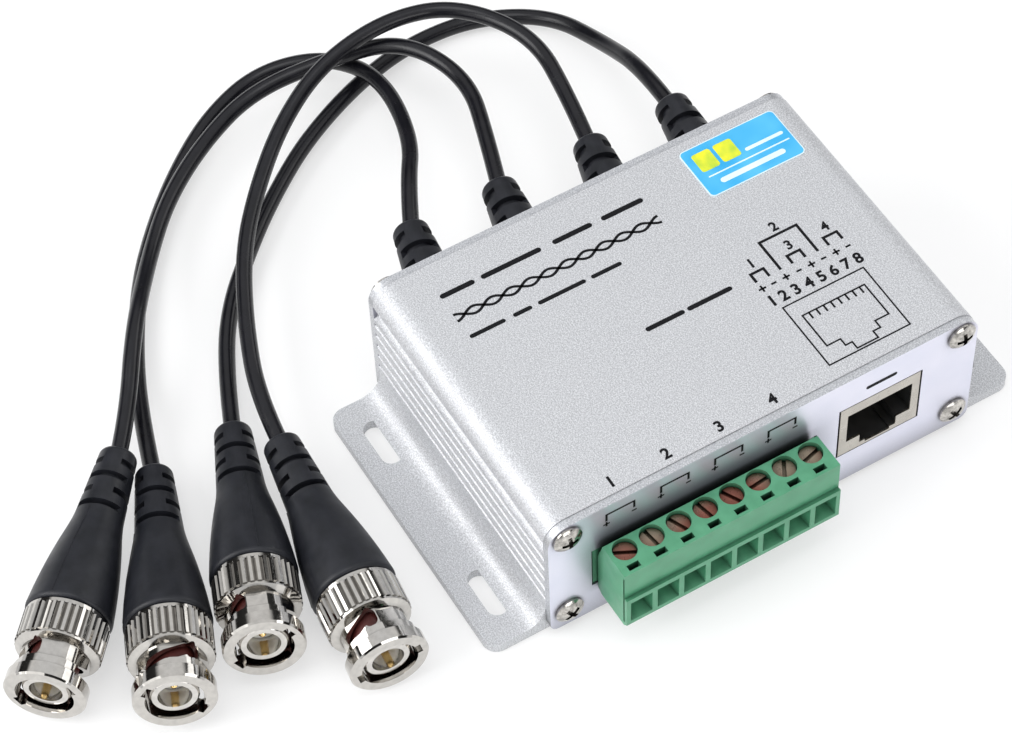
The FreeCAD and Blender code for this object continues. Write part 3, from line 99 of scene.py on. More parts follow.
class Shader:
    """A node material under construction: one principled shader and what feeds it."""

    def __init__(self, name, color, roughness, metallic=0.0):
        self.material = bpy.data.materials.new(name)
        self.material.use_nodes = True
        self.nodes = self.material.node_tree.nodes
        self.links = self.material.node_tree.links
        self.principled = self.nodes["Principled BSDF"]
        self.set("Base Color", (*color, 1.0))
        self.set("Roughness", roughness)
        self.set("Metallic", metallic)

    def set(self, socket, value):
        self.principled.inputs[socket].default_value = value

    def noise(self, size_mm, detail=2.0):
        """Noise whose features are about size_mm wide."""
        place = self.nodes.new("ShaderNodeTexCoord")
        mapping = self.nodes.new("ShaderNodeMapping")
        mapping.inputs["Scale"].default_value = [1.0 / (size_mm * MM)] * 3
        self.links.new(place.outputs["Object"], mapping.inputs["Vector"])
        node = self.nodes.new("ShaderNodeTexNoise")
        node.inputs["Scale"].default_value = 1.0
        node.inputs["Detail"].default_value = detail
        self.links.new(mapping.outputs["Vector"], node.inputs["Vector"])
        return node.outputs["Fac"]

    def spread(self, value, low, high, start=NOISE_START, end=NOISE_END):
        """The value between start and end, spread to run from low to high."""
        node = self.nodes.new("ShaderNodeMapRange")
        node.inputs["From Min"].default_value = start
        node.inputs["From Max"].default_value = end
        node.inputs["To Min"].default_value = low
        node.inputs["To Max"].default_value = high
        self.links.new(value, node.inputs["Value"])
        return node.outputs["Result"]

    def blend(self, value, low, high, start=NOISE_START, end=NOISE_END):
        """A colour that runs from low to high as the value goes from start to end."""
        node = self.nodes.new("ShaderNodeValToRGB")
        node.color_ramp.elements[0].position = start
        node.color_ramp.elements[0].color = (*low, 1.0)
        node.color_ramp.elements[1].position = end
        node.color_ramp.elements[1].color = (*high, 1.0)
        self.links.new(value, node.inputs["Fac"])
        return node.outputs["Color"]

    def vary_color(self, value, low, high, start=NOISE_START, end=NOISE_END):
        self.links.new(self.blend(value, low, high, start, end),
                       self.principled.inputs["Base Color"])

    def paint_recess_shade(self, reach_mm):
        """Painted shade: the colour so far, darkened by ambient occlusion in slots and corners
        narrower than reach_mm.
        """
        node = self.nodes.new("ShaderNodeAmbientOcclusion")
        node.samples = RECESS_SHADE_SAMPLES
        node.inputs["Distance"].default_value = reach_mm * MM
        color = self.principled.inputs["Base Color"]
        self.links.new(color.links[0].from_socket, node.inputs["Color"])
        self.links.new(node.outputs["Color"], color)

    def vary_roughness(self, value, low, high):
        self.links.new(self.spread(value, low, high), self.principled.inputs["Roughness"])

    def sway_roughness(self, value, mean, span):
        self.vary_roughness(value, mean * span[0], mean * span[1])

    def bump(self, value, height_mm, strength):
        node = self.nodes.new("ShaderNodeBump")
        node.inputs["Strength"].default_value = strength
        node.inputs["Distance"].default_value = height_mm * MM
        self.links.new(value, node.inputs["Height"])
        self.links.new(node.outputs["Normal"], self.principled.inputs["Normal"])


# Grain of the blasted case, and how far roughness strays from its mean, as shares of it
CASE_GRAIN_MM = 0.22
GRAIN_START = 0.36
GRAIN_END = 0.68
METAL_ROUGHNESS_SPAN = (0.75, 1.3)
SOFT_ROUGHNESS_SPAN = (0.85, 1.2)
FILM_ROUGHNESS = 0.3


def tinted(color, share):
    return tuple(min(1.0, part * share) for part in color)


def blasted_aluminium():
    shader = Shader("blasted_aluminium", (0.54, 0.55, 0.58), 0.46, metallic=0.42)
    grain = shader.noise(CASE_GRAIN_MM)
    shader.vary_color(grain, (0.40, 0.405, 0.425), (0.72, 0.73, 0.75), GRAIN_START, GRAIN_END)
    shader.vary_roughness(shader.noise(6.0), 0.42, 0.52)
    shader.bump(grain, height_mm=0.03, strength=0.6)
    return shader.material


def plate_aluminium():
    """Smooth anodised face towards +X, edges as grained as the case, and painted shade near the
    parts that stand out from the face.
    """
    shader = Shader("plate_aluminium", (0.72, 0.73, 0.84), 0.36, metallic=0.75)
    grained = shader.blend(shader.noise(CASE_GRAIN_MM), (0.42, 0.43, 0.46), (0.72, 0.73, 0.75),
                           GRAIN_START, GRAIN_END)
    smooth = shader.blend(shader.noise(8.0), (0.72, 0.73, 0.84), (0.78, 0.78, 0.88))
    facing = shader.nodes.new("ShaderNodeNewGeometry")
    split = shader.nodes.new("ShaderNodeSeparateXYZ")
    shader.links.new(facing.outputs["Normal"], split.inputs["Vector"])
    front = shader.spread(split.outputs["X"], 0.0, 1.0, start=0.5, end=0.8)
    mix = shader.nodes.new("ShaderNodeMixRGB")
    shader.links.new(front, mix.inputs["Fac"])
    shader.links.new(grained, mix.inputs["Color1"])
    shader.links.new(smooth, mix.inputs["Color2"])
    shader.links.new(mix.outputs["Color"], shader.principled.inputs["Base Color"])
    # Painted shade: the plate darkens near the terminal block, the socket and the screw heads
    shader.paint_recess_shade(reach_mm=7.0)
    shader.vary_roughness(shader.noise(4.0), 0.34, 0.40)
    shader.bump(shader.noise(1.2, detail=1.0), height_mm=0.004, strength=0.2)
    return shader.material


def nickel(name, color, roughness, grain_mm=1.2, shade_reach_mm=0.0, contrast=0.08):
    """Plated metal, clouded by contrast, with painted shade in recesses narrower than the shade
    reach in millimetres.
    """
    shader = Shader(name, color, roughness, metallic=1.0)
    cloud = shader.noise(grain_mm, detail=3.0)
    shader.vary_color(cloud, tinted(color, 1.0 - contrast), tinted(color, 1.0 + contrast))
    # Painted shade in recesses, when a shade reach is given
    if shade_reach_mm > 0.0:
        shader.paint_recess_shade(shade_reach_mm)
    shader.sway_roughness(shader.noise(grain_mm / 2), roughness, METAL_ROUGHNESS_SPAN)
    shader.bump(shader.noise(0.25), height_mm=0.006, strength=0.35)
    return shader.material


def plastic(name, low, high, roughness, grain_mm=0.5, relief_mm=0.01, shade_reach_mm=0.0):
    shader = Shader(name, high, roughness)
    shader.vary_color(shader.noise(3.0, detail=3.0), low, high)
    # Painted shade in recesses, when a shade reach is given
    if shade_reach_mm > 0.0:
        shader.paint_recess_shade(shade_reach_mm)
    shader.sway_roughness(shader.noise(1.5), roughness, SOFT_ROUGHNESS_SPAN)
    shader.bump(shader.noise(grain_mm), relief_mm, strength=0.5)
    return shader.material


def rubber(name, low, high, roughness, grain_mm, relief_mm):
    shader = Shader(name, high, roughness)
    shader.set("Specular IOR Level", 0.35)
    shader.vary_color(shader.noise(2.5, detail=3.0), low, high)
    shader.sway_roughness(shader.noise(4.0), roughness, SOFT_ROUGHNESS_SPAN)
    shader.bump(shader.noise(grain_mm), relief_mm, strength=0.6)
    return shader.material


def clamp_screw_metal():
    """Screws whose tone changes from one to the next along the block, all kept dark as painted
    shade of the wells they sit in, with more painted shade in their slots.
    """
    shader = Shader("clamp_screw_metal", (0.45, 0.30, 0.22), 0.32, metallic=1.0)
    tone = shader.noise(8.0, detail=0.0)
    # Painted shade: both tones are kept dark to stand for the shade in the screws' wells
    shader.vary_color(tone, (0.30, 0.12, 0.085), (0.33, 0.27, 0.19), start=0.40, end=0.60)
    # Painted shade in the screw slots
    shader.paint_recess_shade(reach_mm=1.6)
    shader.vary_roughness(shader.noise(0.6), 0.25, 0.42)
    shader.bump(shader.noise(0.15), height_mm=0.01, strength=0.4)
    return shader.material


def milky_plastic():
    shader = Shader("milky_plastic", (0.86, 0.85, 0.80), 0.28)
    shader.set("Subsurface Weight", 0.3)
    shader.set("Subsurface Radius", (0.002, 0.002, 0.0015))
    shader.vary_color(shader.noise(2.0), (0.82, 0.81, 0.75), (0.90, 0.89, 0.85))
    shader.bump(shader.noise(0.4), height_mm=0.008, strength=0.4)
    return shader.material


def ink():
    shader = Shader("ink", (0.004, 0.004, 0.005), 0.6)
    shader.set("Specular IOR Level", 0.15)
    shader.vary_color(shader.noise(0.3), (0.003, 0.003, 0.004), (0.009, 0.009, 0.011))
    shader.bump(shader.noise(0.35), height_mm=0.01, strength=0.5)
    return shader.material


def film(name, low, high, size_mm=6.0):
    shader = Shader(name, high, FILM_ROUGHNESS)
    shader.vary_color(shader.noise(size_mm, detail=1.0), low, high)
    shader.bump(shader.noise(1.2), height_mm=0.01, strength=0.3)
    return shader.material


def laminate():
    shader = Shader("laminate", (0.03, 0.20, 0.09), 0.35)
    shader.vary_color(shader.noise(1.5, detail=3.0), (0.02, 0.15, 0.07), (0.04, 0.24, 0.11))
    shader.bump(shader.noise(0.8), height_mm=0.02, strength=0.4)
    return shader.material


CASE = blasted_aluminium()
PLATE = plate_aluminium()
# Painted shade in the recesses of the screws, rings and bodies, as far as the last number given
# in millimetres
SCREW = nickel("screw_nickel_with_painted_shade", (0.46, 0.44, 0.41), 0.16, grain_mm=0.9, shade_reach_mm=1.0,
               contrast=0.45)
RING = nickel("ring_nickel_with_painted_shade", (0.55, 0.53, 0.50), 0.07, shade_reach_mm=0.8)
BODY = nickel("body_nickel_with_painted_shade", (0.62, 0.60, 0.57), 0.12, shade_reach_mm=0.8)
WASHER = nickel("washer_steel_finish", (0.55, 0.55, 0.55), 0.3)
JACK = nickel("jack_metal_finish", (0.54, 0.51, 0.46), 0.30, grain_mm=2.5)
CAGE = nickel("cage_metal_finish", (0.55, 0.54, 0.50), 0.3)
TIN = nickel("tin_finish", (0.66, 0.66, 0.65), 0.3)
GOLD = nickel("gold_finish", (0.86, 0.62, 0.28), 0.2)
BRONZE = nickel("bronze_finish", (0.66, 0.56, 0.42), 0.3)
COPPER = nickel("tinned_copper_finish", (0.68, 0.45, 0.32), 0.35)
# Painted shade in the terminal block's wire entries, slots and screw wells, as far as the last
# number in millimetres
GREEN = plastic("terminal_green_with_painted_shade", (0.06, 0.245, 0.13), (0.085, 0.305, 0.17), 0.36,
                shade_reach_mm=2.0)
BLACK = plastic("jack_black_finish", (0.012, 0.012, 0.012), (0.02, 0.02, 0.02), 0.45)
FERRITE = plastic("ferrite_finish", (0.03, 0.03, 0.032), (0.06, 0.06, 0.065), 0.6,
                  grain_mm=0.3, relief_mm=0.03)
SLEEVE = rubber("sleeve_rubber_finish", (0.008, 0.009, 0.012), (0.015, 0.016, 0.021), 0.42,
                grain_mm=0.25, relief_mm=0.012)
JACKET = rubber("cord_jacket_finish", (0.004, 0.004, 0.006), (0.008, 0.008, 0.011), 0.24,
                grain_mm=0.4, relief_mm=0.012)
RED = rubber("seal_red_finish", (0.040, 0.006, 0.005), (0.075, 0.012, 0.009), 0.5,
             grain_mm=0.4, relief_mm=0.02)
CLAMP = clamp_screw_metal()
MILKY = milky_plastic()
INK = ink()
LABEL_PALE = film("label_pale", (0.60, 0.78, 0.88), (0.74, 0.86, 0.90))
LABEL_BLUE = film("label_blue", (0.02, 0.36, 0.70), (0.08, 0.47, 0.80))
LABEL_YELLOW = film("label_yellow", (0.42, 0.60, 0.04), (0.80, 0.78, 0.02), size_mm=2.5)
LAMINATE = laminate()

FINISHES = {
    "case_aluminium": CASE, "plate_aluminium": PLATE, "screw_nickel": SCREW,
    "board_laminate": LAMINATE, "transformer_ferrite": FERRITE, "tail_copper": COPPER,
    "jack_metal": JACK, "jack_plastic": BLACK, "contact_gold": GOLD, "terminal_green": GREEN,
    "pin_tin": TIN, "cage_metal": CAGE, "clamp_screw_metal": CLAMP, "leaf_bronze": BRONZE,
    "label_film": LABEL_PALE, "sleeve_rubber": SLEEVE, "cord_jacket": JACKET,
    "ring_nickel": RING, "body_nickel": BODY, "seal_red": RED, "washer_steel": WASHER,
    "insulator_white": MILKY, "pin_gold": GOLD,
}
for part in frame["record"]["subparts"]:
    for slot in NODES[part["node"]].material_slots:
        slot.material = FINISHES[part["material_slot"]]


# Camera at the photograph's viewing angle, in metres
CAMERA_PLACE = Vector((0.277528, -0.179618, 0.463925))
CAMERA_RIGHT = Vector((0.507935, 0.860816, -0.031575))
CAMERA_UP = Vector((-0.686149, 0.426487, 0.589329))
LENS_MM = 117.145
SENSOR_WIDTH_MM = 36.0


def make_camera():
    data = bpy.data.cameras.new("camera")
    data.sensor_width = SENSOR_WIDTH_MM
    data.lens = LENS_MM
    data.clip_start = 0.01
    camera = bpy.data.objects.new("camera", data)
    bpy.context.scene.collection.objects.link(camera)
    axes = Matrix((CAMERA_RIGHT, CAMERA_UP, CAMERA_RIGHT.cross(CAMERA_UP))).transposed()
    camera.matrix_world = Matrix.Translation(CAMERA_PLACE) @ axes.to_4x4()
    bpy.context.scene.camera = camera


make_camera()


# Leads
CORD_SIDE_STEPS = 6
CORD_SPAN_STEPS = 12


def make_cord(number, lead):
    points = [Vector(point) * MM for point in lead["route"]]
    curve = bpy.data.curves.new("lead_cord_" + number, "CURVE")
    curve.dimensions = "3D"
    curve.bevel_depth = CORD_DIAMETER / 2 * MM
    curve.bevel_resolution = CORD_SIDE_STEPS
    curve.resolution_u = CORD_SPAN_STEPS
    curve.use_fill_caps = True
    spline = curve.splines.new("NURBS")
    spline.points.add(len(points) - 1)
    for target, point in zip(spline.points, points):
        target.co = (*point, 1.0)
    spline.order_u = 3
    spline.use_endpoint_u = True
    curve.materials.append(JACKET)
    cord = bpy.data.objects.new("lead_cord_" + number, curve)
    bpy.context.scene.collection.objects.link(cord)
    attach(cord, "root")
    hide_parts("cord_" + number)


for lead_number, lead_row in enumerate(LEADS, start=1):
    make_cord(str(lead_number), lead_row)


# Thin flat shapes: print and film
MITRE_LIMIT = 0.35
BAR_END_STEPS = 8
CORNER_STEPS = 4
FIGURE_HALF_DEPTH = 0.5
FIGURE_BOLDNESS = 0.03


def new_piece(name, mesh, material, body):
    mesh.materials.clear()
    mesh.materials.append(material)
    piece = bpy.data.objects.new(name, mesh)
    bpy.context.scene.collection.objects.link(piece)
    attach(piece, body)


def arc(u, v, radius, start, turn, steps):
    """Points round (u, v), from start degrees through turn degrees, with both ends."""
    points = []
    for step in range(steps + 1):
        angle = math.radians(start + turn * step / steps)
        points.append((u + radius * math.cos(angle), v + radius * math.sin(angle)))
    return points


def rounded(low_u, high_u, low_v, high_v, radius):
    """The outline of a rectangle with round corners."""
    left, right = low_u + radius, high_u - radius
    bottom, top = low_v + radius, high_v - radius
    corners = ((right, bottom, -90), (right, top, 0), (left, top, 90), (left, bottom, 180))
    points = []
    for u, v, start in corners:
        points += arc(u, v, radius, start, 90, CORNER_STEPS)
    return points


class Sheet:
    """Flat shapes in millimetres (u to the right, v up) laid on a face of the model."""

    def __init__(self, origin, right, up, thickness):
        self.mesh = bmesh.new()
        self.origin = Vector(origin)
        self.right = Vector(right)
        self.up = Vector(up)
        self.out = self.right.cross(self.up)
        self.thickness = thickness

    def place(self, u, v, lift):
        return (self.origin + self.right * u + self.up * v + self.out * lift) * MM

    def polygon(self, points):
        """A filled outline, its points in order round it."""
        low = [self.mesh.verts.new(self.place(u, v, 0.0)) for u, v in points]
        high = [self.mesh.verts.new(self.place(u, v, self.thickness)) for u, v in points]
        self.mesh.faces.new(high)
        self.mesh.faces.new(list(reversed(low)))
        for index in range(len(points)):
            after = (index + 1) % len(points)
            self.mesh.faces.new((low[index], low[after], high[after], high[index]))

    def line(self, points, width, closed=False):
        """A stroke along the points, with mitred corners."""
        count = len(points)
        left = []
        right = []
        for index, point in enumerate(points):
            here = Vector(point)
            ways = []
            if closed or index > 0:
                ways.append((here - Vector(points[index - 1])).normalized())
            if closed or index < count - 1:
                ways.append((Vector(points[(index + 1) % count]) - here).normalized())
            normals = [Vector((-way.y, way.x)) for way in ways]
            normal = sum(normals, Vector((0.0, 0.0))).normalized()
            reach = width / 2 / max(MITRE_LIMIT, normal.dot(normals[0]))
            left.append(here + normal * reach)
            right.append(here - normal * reach)
        for index in range(count if closed else count - 1):
            after = (index + 1) % count
            self.polygon((right[index], right[after], left[after], left[index]))

    def bar(self, start, end, v, width):
        """A level stroke with round ends."""
        radius = width / 2
        self.polygon(arc(end - radius, v, radius, -90, 180, BAR_END_STEPS)
                     + arc(start + radius, v, radius, 90, 180, BAR_END_STEPS))

    def plus(self, u, v, size, width):
        self.line([(u - size / 2, v), (u + size / 2, v)], width)
        self.line([(u, v - size / 2), (u, v + size / 2)], width)

    def minus(self, u, v, size, width):
        self.line([(u - size / 2, v), (u + size / 2, v)], width)

    def text(self, words, u, v, height):
        """Figures of Blender's own font, centred on (u, v)."""
        font = bpy.data.curves.new("figures", "FONT")
        font.body = words
        font.align_x = "CENTER"
        font.align_y = "CENTER"
        font.size = 1.0
        font.offset = FIGURE_BOLDNESS
        font.extrude = FIGURE_HALF_DEPTH
        font.resolution_u = 4
        shape = bpy.data.objects.new("figures", font)
        bpy.context.scene.collection.objects.link(shape)
        bpy.context.view_layer.update()
        mesh = bpy.data.meshes.new_from_object(
            shape.evaluated_get(bpy.context.evaluated_depsgraph_get()))
        bpy.data.objects.remove(shape)
        low = min(vertex.co.y for vertex in mesh.vertices)
        high = max(vertex.co.y for vertex in mesh.vertices)
        scale = height / (high - low)
        for vertex in mesh.vertices:
            vertex.co = self.place(u + vertex.co.x * scale,
                                   v + (vertex.co.y - (low + high) / 2) * scale,
                                   (vertex.co.z + FIGURE_HALF_DEPTH) * self.thickness)
        self.mesh.from_mesh(mesh)
        bpy.data.meshes.remove(mesh)

    def finish(self, name, material, body, slot):
        mesh = bpy.data.meshes.new(name)
        bmesh.ops.recalc_face_normals(self.mesh, faces=self.mesh.faces)
        self.mesh.to_mesh(mesh)
        self.mesh.free()
        new_piece(name, mesh, material, body)


# Print on the roof: u runs along +Y and v towards -X
PRINT_THICKNESS = 0.03

# Bars in place of words: start and end of each word of a line, place of the line, its thickness
WORD_BARS = (
    (((-32.3, -25.7), (-24.4, -12.8), (-10.5, -2.8), (-0.9, 7.3)), 20.7, 1.0),
    (((-32.2, -25.4), (-23.9, -20.3), (-19.1, -9.9), (-8.8, -2.9)), 11.0, 0.8),
    (((-6.9, 0.6), (1.2, 9.9)), -3.1, 0.9),
)

# Two wires twisted round each other, each half turn one pitch long
TWIST_START = -30.5
TWIST_PITCH = 3.62
TWIST_COUNT = 10
TWIST_V = 15.6
TWIST_HEIGHT = 0.75
TWIST_STEPS = 16
TWIST_END_STEPS = 8
TWIST_STROKE = 0.5

# Channels and the ways of the network socket that each of them takes
CHANNEL_FIGURES = (("1", 15.3, -0.5), ("2", 22.8, 4.1), ("3", 22.8, -0.5), ("4", 30.1, -0.4))
CHANNEL_BRACKETS = ((13.95, 16.5, -2.5, -4.4), (21.25, 23.8, -2.4, -4.2),
                    (28.5, 31.2, -2.4, -4.2), (18.85, 26.25, 2.35, -4.25))
CHANNEL_STROKE = 0.5
CHANNEL_FIGURE_HEIGHT = 2.0
WAY_US = (14.05, 16.3, 18.75, 21.3, 23.8, 26.2, 28.7, 31.1)
WAY_SIGN_V = -6.0
WAY_PLUS_SIZE = 1.4
WAY_MINUS_SIZE = 1.0
WAY_SIGN_STROKE = 0.36
WAY_FIGURE_V = -8.95
WAY_FIGURE_HEIGHT = 2.3

# Picture of the network socket
FRAME_OUTLINE = ((14.7, -11.1), (30.7, -11.1), (30.6, -24.9), (14.7, -24.9))
FRAME_STROKE = 0.28
SOCKET_OUTLINE = ((16.55, -14.15), (28.83, -14.15), (28.83, -21.3), (26.1, -21.3),
                  (26.1, -22.9), (24.64, -22.9), (24.64, -24.4), (20.5, -24.4), (20.5, -22.9),
                  (19.2, -22.9), (19.2, -21.4), (16.55, -21.4))
SOCKET_STROKE = 0.3
CONTACT_START = 17.8
CONTACT_PITCH = 1.43
CONTACT_COUNT = 8
CONTACT_VS = (-14.15, -15.55)
CONTACT_STROKE = 0.34

# Channel numbers over the terminal block
EDGE_FIGURES = (("1", -27.6), ("2", -17.2), ("3", -7.1), ("4", 3.1))
EDGE_FIGURE_V = -25.6
EDGE_FIGURE_HEIGHT = 2.2


def print_words(sheet):
    for words, v, width in WORD_BARS:
        for start, end in words:
            sheet.bar(start, end, v, width)


def print_twisted_pair(sheet):
    for side in (-1, 1):
        points = []
        for step in range(-TWIST_END_STEPS, TWIST_COUNT * TWIST_STEPS + TWIST_END_STEPS + 1):
            turn = math.pi * step / TWIST_STEPS
            points.append((TWIST_START + TWIST_PITCH * step / TWIST_STEPS,
                           TWIST_V + side * TWIST_HEIGHT * math.sin(turn)))
        sheet.line(points, TWIST_STROKE)


def print_channels(sheet):
    for figure, u, v in CHANNEL_FIGURES:
        sheet.text(figure, u, v, CHANNEL_FIGURE_HEIGHT)
    for low_u, high_u, bar_v, leg_v in CHANNEL_BRACKETS:
        sheet.line([(low_u, leg_v), (low_u, bar_v), (high_u, bar_v), (high_u, leg_v)],
                   CHANNEL_STROKE)
    for index, u in enumerate(WAY_US):
        if index % 2 == 0:
            sheet.plus(u, WAY_SIGN_V, WAY_PLUS_SIZE, WAY_SIGN_STROKE)
        else:
            sheet.minus(u, WAY_SIGN_V, WAY_MINUS_SIZE, WAY_SIGN_STROKE)
        sheet.text(str(index + 1), u, WAY_FIGURE_V, WAY_FIGURE_HEIGHT)


def print_socket(sheet):
    sheet.line(FRAME_OUTLINE, FRAME_STROKE, closed=True)
    sheet.line(SOCKET_OUTLINE, SOCKET_STROKE, closed=True)
    for index in range(CONTACT_COUNT):
        u = CONTACT_START + CONTACT_PITCH * index
        sheet.line([(u, v) for v in CONTACT_VS], CONTACT_STROKE)


def print_roof():
    sheet = Sheet((0, 0, CASE_TOP_Z), (0, 1, 0), (-1, 0, 0), PRINT_THICKNESS)
    print_words(sheet)
    print_twisted_pair(sheet)
    print_channels(sheet)
    print_socket(sheet)
    for figure, u in EDGE_FIGURES:
        sheet.text(figure, u, EDGE_FIGURE_V, EDGE_FIGURE_HEIGHT)
    sheet.finish("roof_print", INK, "root", "case_aluminium")


# Print on the front plate, above the terminal block: u runs along +Y and v up
PAIR_COUNT = 4
PAIR_START = -30.6
PAIR_PITCH = 10.25
PAIR_WIDTH = 5.2
PAIR_LEG_Z = 25.2
PAIR_BAR_Z = 26.95
PAIR_STROKE = 0.4
PAIR_PLUS_Z = 24.35
PAIR_PLUS_SIZE = 1.2
PAIR_MINUS_Z = 24.4
PAIR_MINUS_SIZE = 0.9
PAIR_SIGN_STROKE = 0.32
SOCKET_WORD = (19.3, 25.4)
SOCKET_WORD_Z = 24.8
SOCKET_WORD_THICKNESS = 0.8


def print_front():
    sheet = Sheet((FRONT_FACE_X, 0, 0), (0, 1, 0), (0, 0, 1), PRINT_THICKNESS)
    for pair in range(PAIR_COUNT):
        low_u = PAIR_START + PAIR_PITCH * pair
        high_u = low_u + PAIR_WIDTH
        sheet.line([(low_u, PAIR_LEG_Z), (low_u, PAIR_BAR_Z),
                    (high_u, PAIR_BAR_Z), (high_u, PAIR_LEG_Z)], PAIR_STROKE)
        sheet.plus(low_u, PAIR_PLUS_Z, PAIR_PLUS_SIZE, PAIR_SIGN_STROKE)
        sheet.minus(high_u, PAIR_MINUS_Z, PAIR_MINUS_SIZE, PAIR_SIGN_STROKE)
    sheet.bar(*SOCKET_WORD, SOCKET_WORD_Z, SOCKET_WORD_THICKNESS)
    sheet.finish("front_print", INK, "root", "plate_aluminium")


print_roof()
print_front()


# Label: a blue field in a pale border, with plain shapes on it. From the corner of the label that
# is nearest to the front and the terminal block, u runs along +Y and v towards -X.
LABEL_BORDER = 0.18
LABEL_CORNER_RADIUS = 0.8
LABEL_FILM_THICKNESS = 0.02
LABEL_BLOCK_US = ((1.6, 5.2), (5.9, 9.5))
LABEL_BLOCK_VS = (5.35, 9.55)
LABEL_BLOCK_RADIUS = 0.5

# Start and end along the label, place across it, thickness
LABEL_BARS = ((10.4, 18.05, 5.85, 0.7), (1.9, 18.25, 4.05, 0.28), (3.2, 16.2, 2.25, 1.1))


def label_sheet(layer):
    """A sheet on the label, with so many films below it."""
    corner = (LABEL_HIGH.x, LABEL_LOW.y, LABEL_HIGH.z + layer * LABEL_FILM_THICKNESS)
    return Sheet(corner, (0, 1, 0), (-1, 0, 0), LABEL_FILM_THICKNESS)


def dress_label():
    size = LABEL_HIGH - LABEL_LOW
    field = label_sheet(0)
    field.polygon(rounded(LABEL_BORDER, size.y - LABEL_BORDER, LABEL_BORDER,
                          size.x - LABEL_BORDER, LABEL_CORNER_RADIUS))
    field.finish("label_field", LABEL_BLUE, "root", "label_film")
    blocks = label_sheet(1)
    for low_u, high_u in LABEL_BLOCK_US:
        blocks.polygon(rounded(low_u, high_u, *LABEL_BLOCK_VS, LABEL_BLOCK_RADIUS))
    blocks.finish("label_blocks", LABEL_YELLOW, "root", "label_film")
    lines = label_sheet(1)
    for start, end, v, width in LABEL_BARS:
        lines.bar(start, end, v, width)
    lines.finish("label_lines", LABEL_PALE, "root", "label_film")


dress_label()


# Mould seam along the plug sleeves, in millimetres
PLUG_SLEEVE_START = 14.7
SEAM_STEPS = 6

# Distance from the sleeve's start and radius there
PLUG_SLEEVE_OUTLINE = ((1.0, 7.4), (5.0, 6.95), (10.0, 6.2), (15.0, 5.2), (18.5, 4.45),
                       (20.3, 4.2))

# Points across the seam: aside, and above the sleeve
SEAM_SECTION = ((-0.16, -0.10), (-0.06, 0.09), (0.06, 0.09), (0.16, -0.10))


def seam_place(lead):
    """Where a seam stands, for shapes drawn along +X from the front of the plug."""
    turn = Matrix.Rotation(math.radians(lead["heading"]), 4, "Z")
    lift = Matrix.Rotation(math.radians(-lead["rise"]), 4, "Y")
    roll = Matrix.Rotation(math.radians(lead["seam_turn"]), 4, "X")
    return Matrix.Translation(Vector(lead["front"])) @ turn @ lift @ roll


def seam_flank():
    """Distance and radius at each step along the sleeve."""
    flank = []
    for (low, low_radius), (high, high_radius) in zip(PLUG_SLEEVE_OUTLINE,
                                                      PLUG_SLEEVE_OUTLINE[1:]):
        for step in range(SEAM_STEPS):
            share = step / SEAM_STEPS
            flank.append((low + (high - low) * share,
                          low_radius + (high_radius - low_radius) * share))
    return flank


def sleeve_seam(number, lead):
    place = seam_place(lead)
    seam = bmesh.new()
    rows = []
    for distance, radius in seam_flank():
        row = []
        for across, lift in SEAM_SECTION:
            point = place @ Vector((-PLUG_SLEEVE_START - distance, across, radius + lift))
            row.append(seam.verts.new(point * MM))
        rows.append(row)
    for before, after in zip(rows, rows[1:]):
        for index in range(len(SEAM_SECTION) - 1):
            seam.faces.new((before[index], before[index + 1], after[index + 1], after[index]))
    name = "plug_sleeve_seam_" + number
    mesh = bpy.data.meshes.new(name)
    bmesh.ops.recalc_face_normals(seam, faces=seam.faces)
    seam.to_mesh(mesh)
    seam.free()
    new_piece(name, mesh, SLEEVE, "root")


for lead_number, lead_row in enumerate(LEADS, start=1):
    sleeve_seam(str(lead_number), lead_row)


# Floor, light and surroundings, in metres and watts
FLOOR_REACH = 3.0
FLOOR_DROP = 0.0002
FLOOR_GLOW_SHARE = 0.55


def floor_white():
    """A white floor, seen as paler than the light makes it, with the shadow kept."""
    shader = Shader("floor_white", (0.95, 0.95, 0.95), 0.9)
    shader.set("Specular IOR Level", 0.0)
    ray = shader.nodes.new("ShaderNodeLightPath")
    seen = ray.outputs["Is Camera Ray"]
    for kind in ("Is Glossy Ray", "Is Transmission Ray"):
        add = shader.nodes.new("ShaderNodeMath")
        add.operation = "ADD"
        shader.links.new(seen, add.inputs[0])
        shader.links.new(ray.outputs[kind], add.inputs[1])
        seen = add.outputs["Value"]
    share = shader.spread(seen, 0.0, FLOOR_GLOW_SHARE, start=0.0, end=1.0)
    glow = shader.nodes.new("ShaderNodeEmission")
    glow.inputs["Color"].default_value = (1.0, 1.0, 1.0, 1.0)
    glow.inputs["Strength"].default_value = 1.0
    mix = shader.nodes.new("ShaderNodeMixShader")
    shader.links.new(share, mix.inputs["Fac"])
    shader.links.new(shader.principled.outputs["BSDF"], mix.inputs[1])
    shader.links.new(glow.outputs["Emission"], mix.inputs[2])
    out = next(node for node in shader.nodes if node.type == "OUTPUT_MATERIAL")
    shader.links.new(mix.outputs["Shader"], out.inputs["Surface"])
    return shader.material


def make_floor():
    mesh = bpy.data.meshes.new("floor")
    sides = ((-1, -1), (1, -1), (1, 1), (-1, 1))
    corners = [(x * FLOOR_REACH, y * FLOOR_REACH, -FLOOR_DROP) for x, y in sides]
    mesh.from_pydata(corners, [], [(0, 1, 2, 3)])
    mesh.materials.append(floor_white())
    floor = bpy.data.objects.new("floor", mesh)
    bpy.context.scene.collection.objects.link(floor)


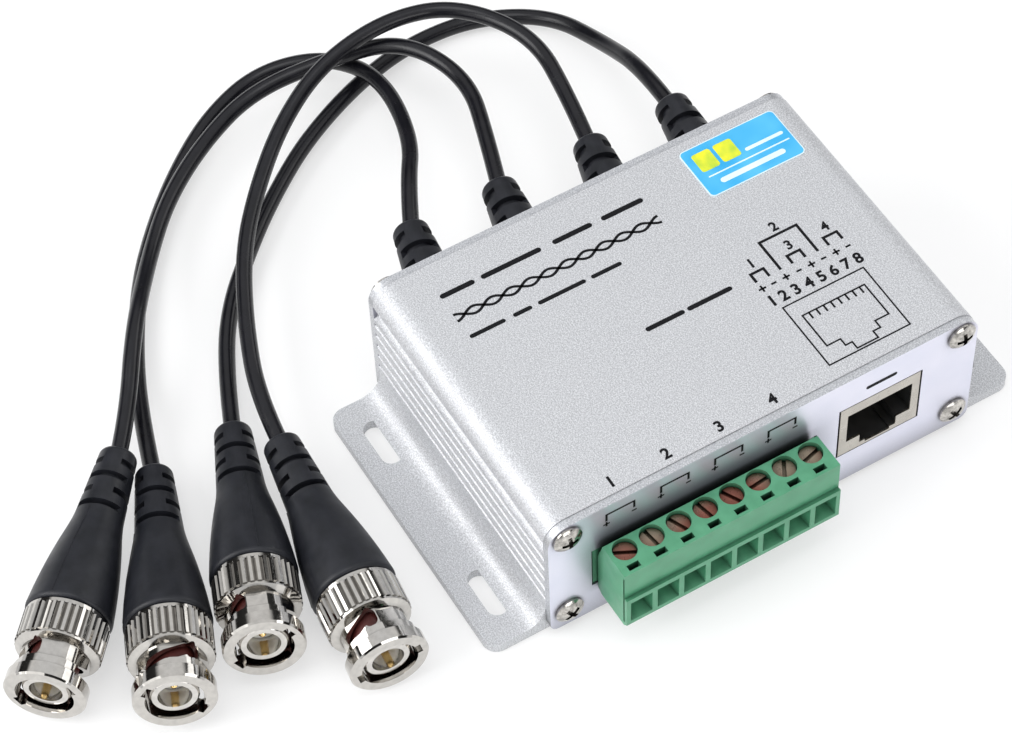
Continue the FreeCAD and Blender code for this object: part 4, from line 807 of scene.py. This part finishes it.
# Name, place, target, width and height, power
LIGHTS = (
    ("key", (-0.25, -0.85, 0.60), (0.0, -0.05, 0.0), (0.9, 0.6), 7.0),
    ("side", (0.05, -0.70, 0.30), (0.0, 0.0, 0.0), (0.9, 0.45), 1.8),
    ("front", (0.80, 0.05, 0.32), (0.0, 0.0, 0.01), (0.5, 0.4), 2.0),
    ("top", (0.0, -0.15, 0.95), (-0.02, 0.0, 0.0), (0.5, 0.5), 1.6),
    ("back", (0.0, 0.75, 0.45), (0.0, 0.0, 0.02), (0.8, 0.3), 1.4),
)


def make_light(name, place, target, size, power):
    data = bpy.data.lights.new(name, "AREA")
    data.shape = "RECTANGLE"
    data.size, data.size_y = size
    data.energy = power
    light = bpy.data.objects.new(name, data)
    bpy.context.scene.collection.objects.link(light)
    light.location = place
    way = Vector(target) - Vector(place)
    light.rotation_euler = way.to_track_quat("-Z", "Y").to_euler()


# Surroundings by the sine of the angle above the floor: pale, then a dark band for the plated
# metal to mirror, then pale again
WORLD_STRENGTH = 0.93
WORLD_LOW = (0.14, (0.85, 0.86, 0.88))
WORLD_BANDS = ((0.19, 0.02), (0.52, 0.04), (0.62, 0.95))
WORLD_HIGH = (1.0, (0.95, 0.97, 1.0))


def make_world():
    world = bpy.data.worlds.new("studio")
    bpy.context.scene.world = world
    world.use_nodes = True
    nodes = world.node_tree.nodes
    links = world.node_tree.links
    nodes.clear()
    out = nodes.new("ShaderNodeOutputWorld")
    light = nodes.new("ShaderNodeBackground")
    light.inputs["Strength"].default_value = WORLD_STRENGTH
    place = nodes.new("ShaderNodeTexCoord")
    split = nodes.new("ShaderNodeSeparateXYZ")
    ramp = nodes.new("ShaderNodeValToRGB")
    elements = ramp.color_ramp.elements
    for element, (height, color) in zip(elements, (WORLD_LOW, WORLD_HIGH)):
        element.position = height
        element.color = (*color, 1.0)
    for height, grey in WORLD_BANDS:
        elements.new(height).color = (grey, grey, grey, 1.0)
    links.new(place.outputs["Generated"], split.inputs["Vector"])
    links.new(split.outputs["Z"], ramp.inputs["Fac"])
    links.new(ramp.outputs["Color"], light.inputs["Color"])
    links.new(light.outputs["Background"], out.inputs["Surface"])


make_floor()
make_world()
for light_row in LIGHTS:
    make_light(*light_row)
bpy.context.scene.view_settings.view_transform = "Standard"
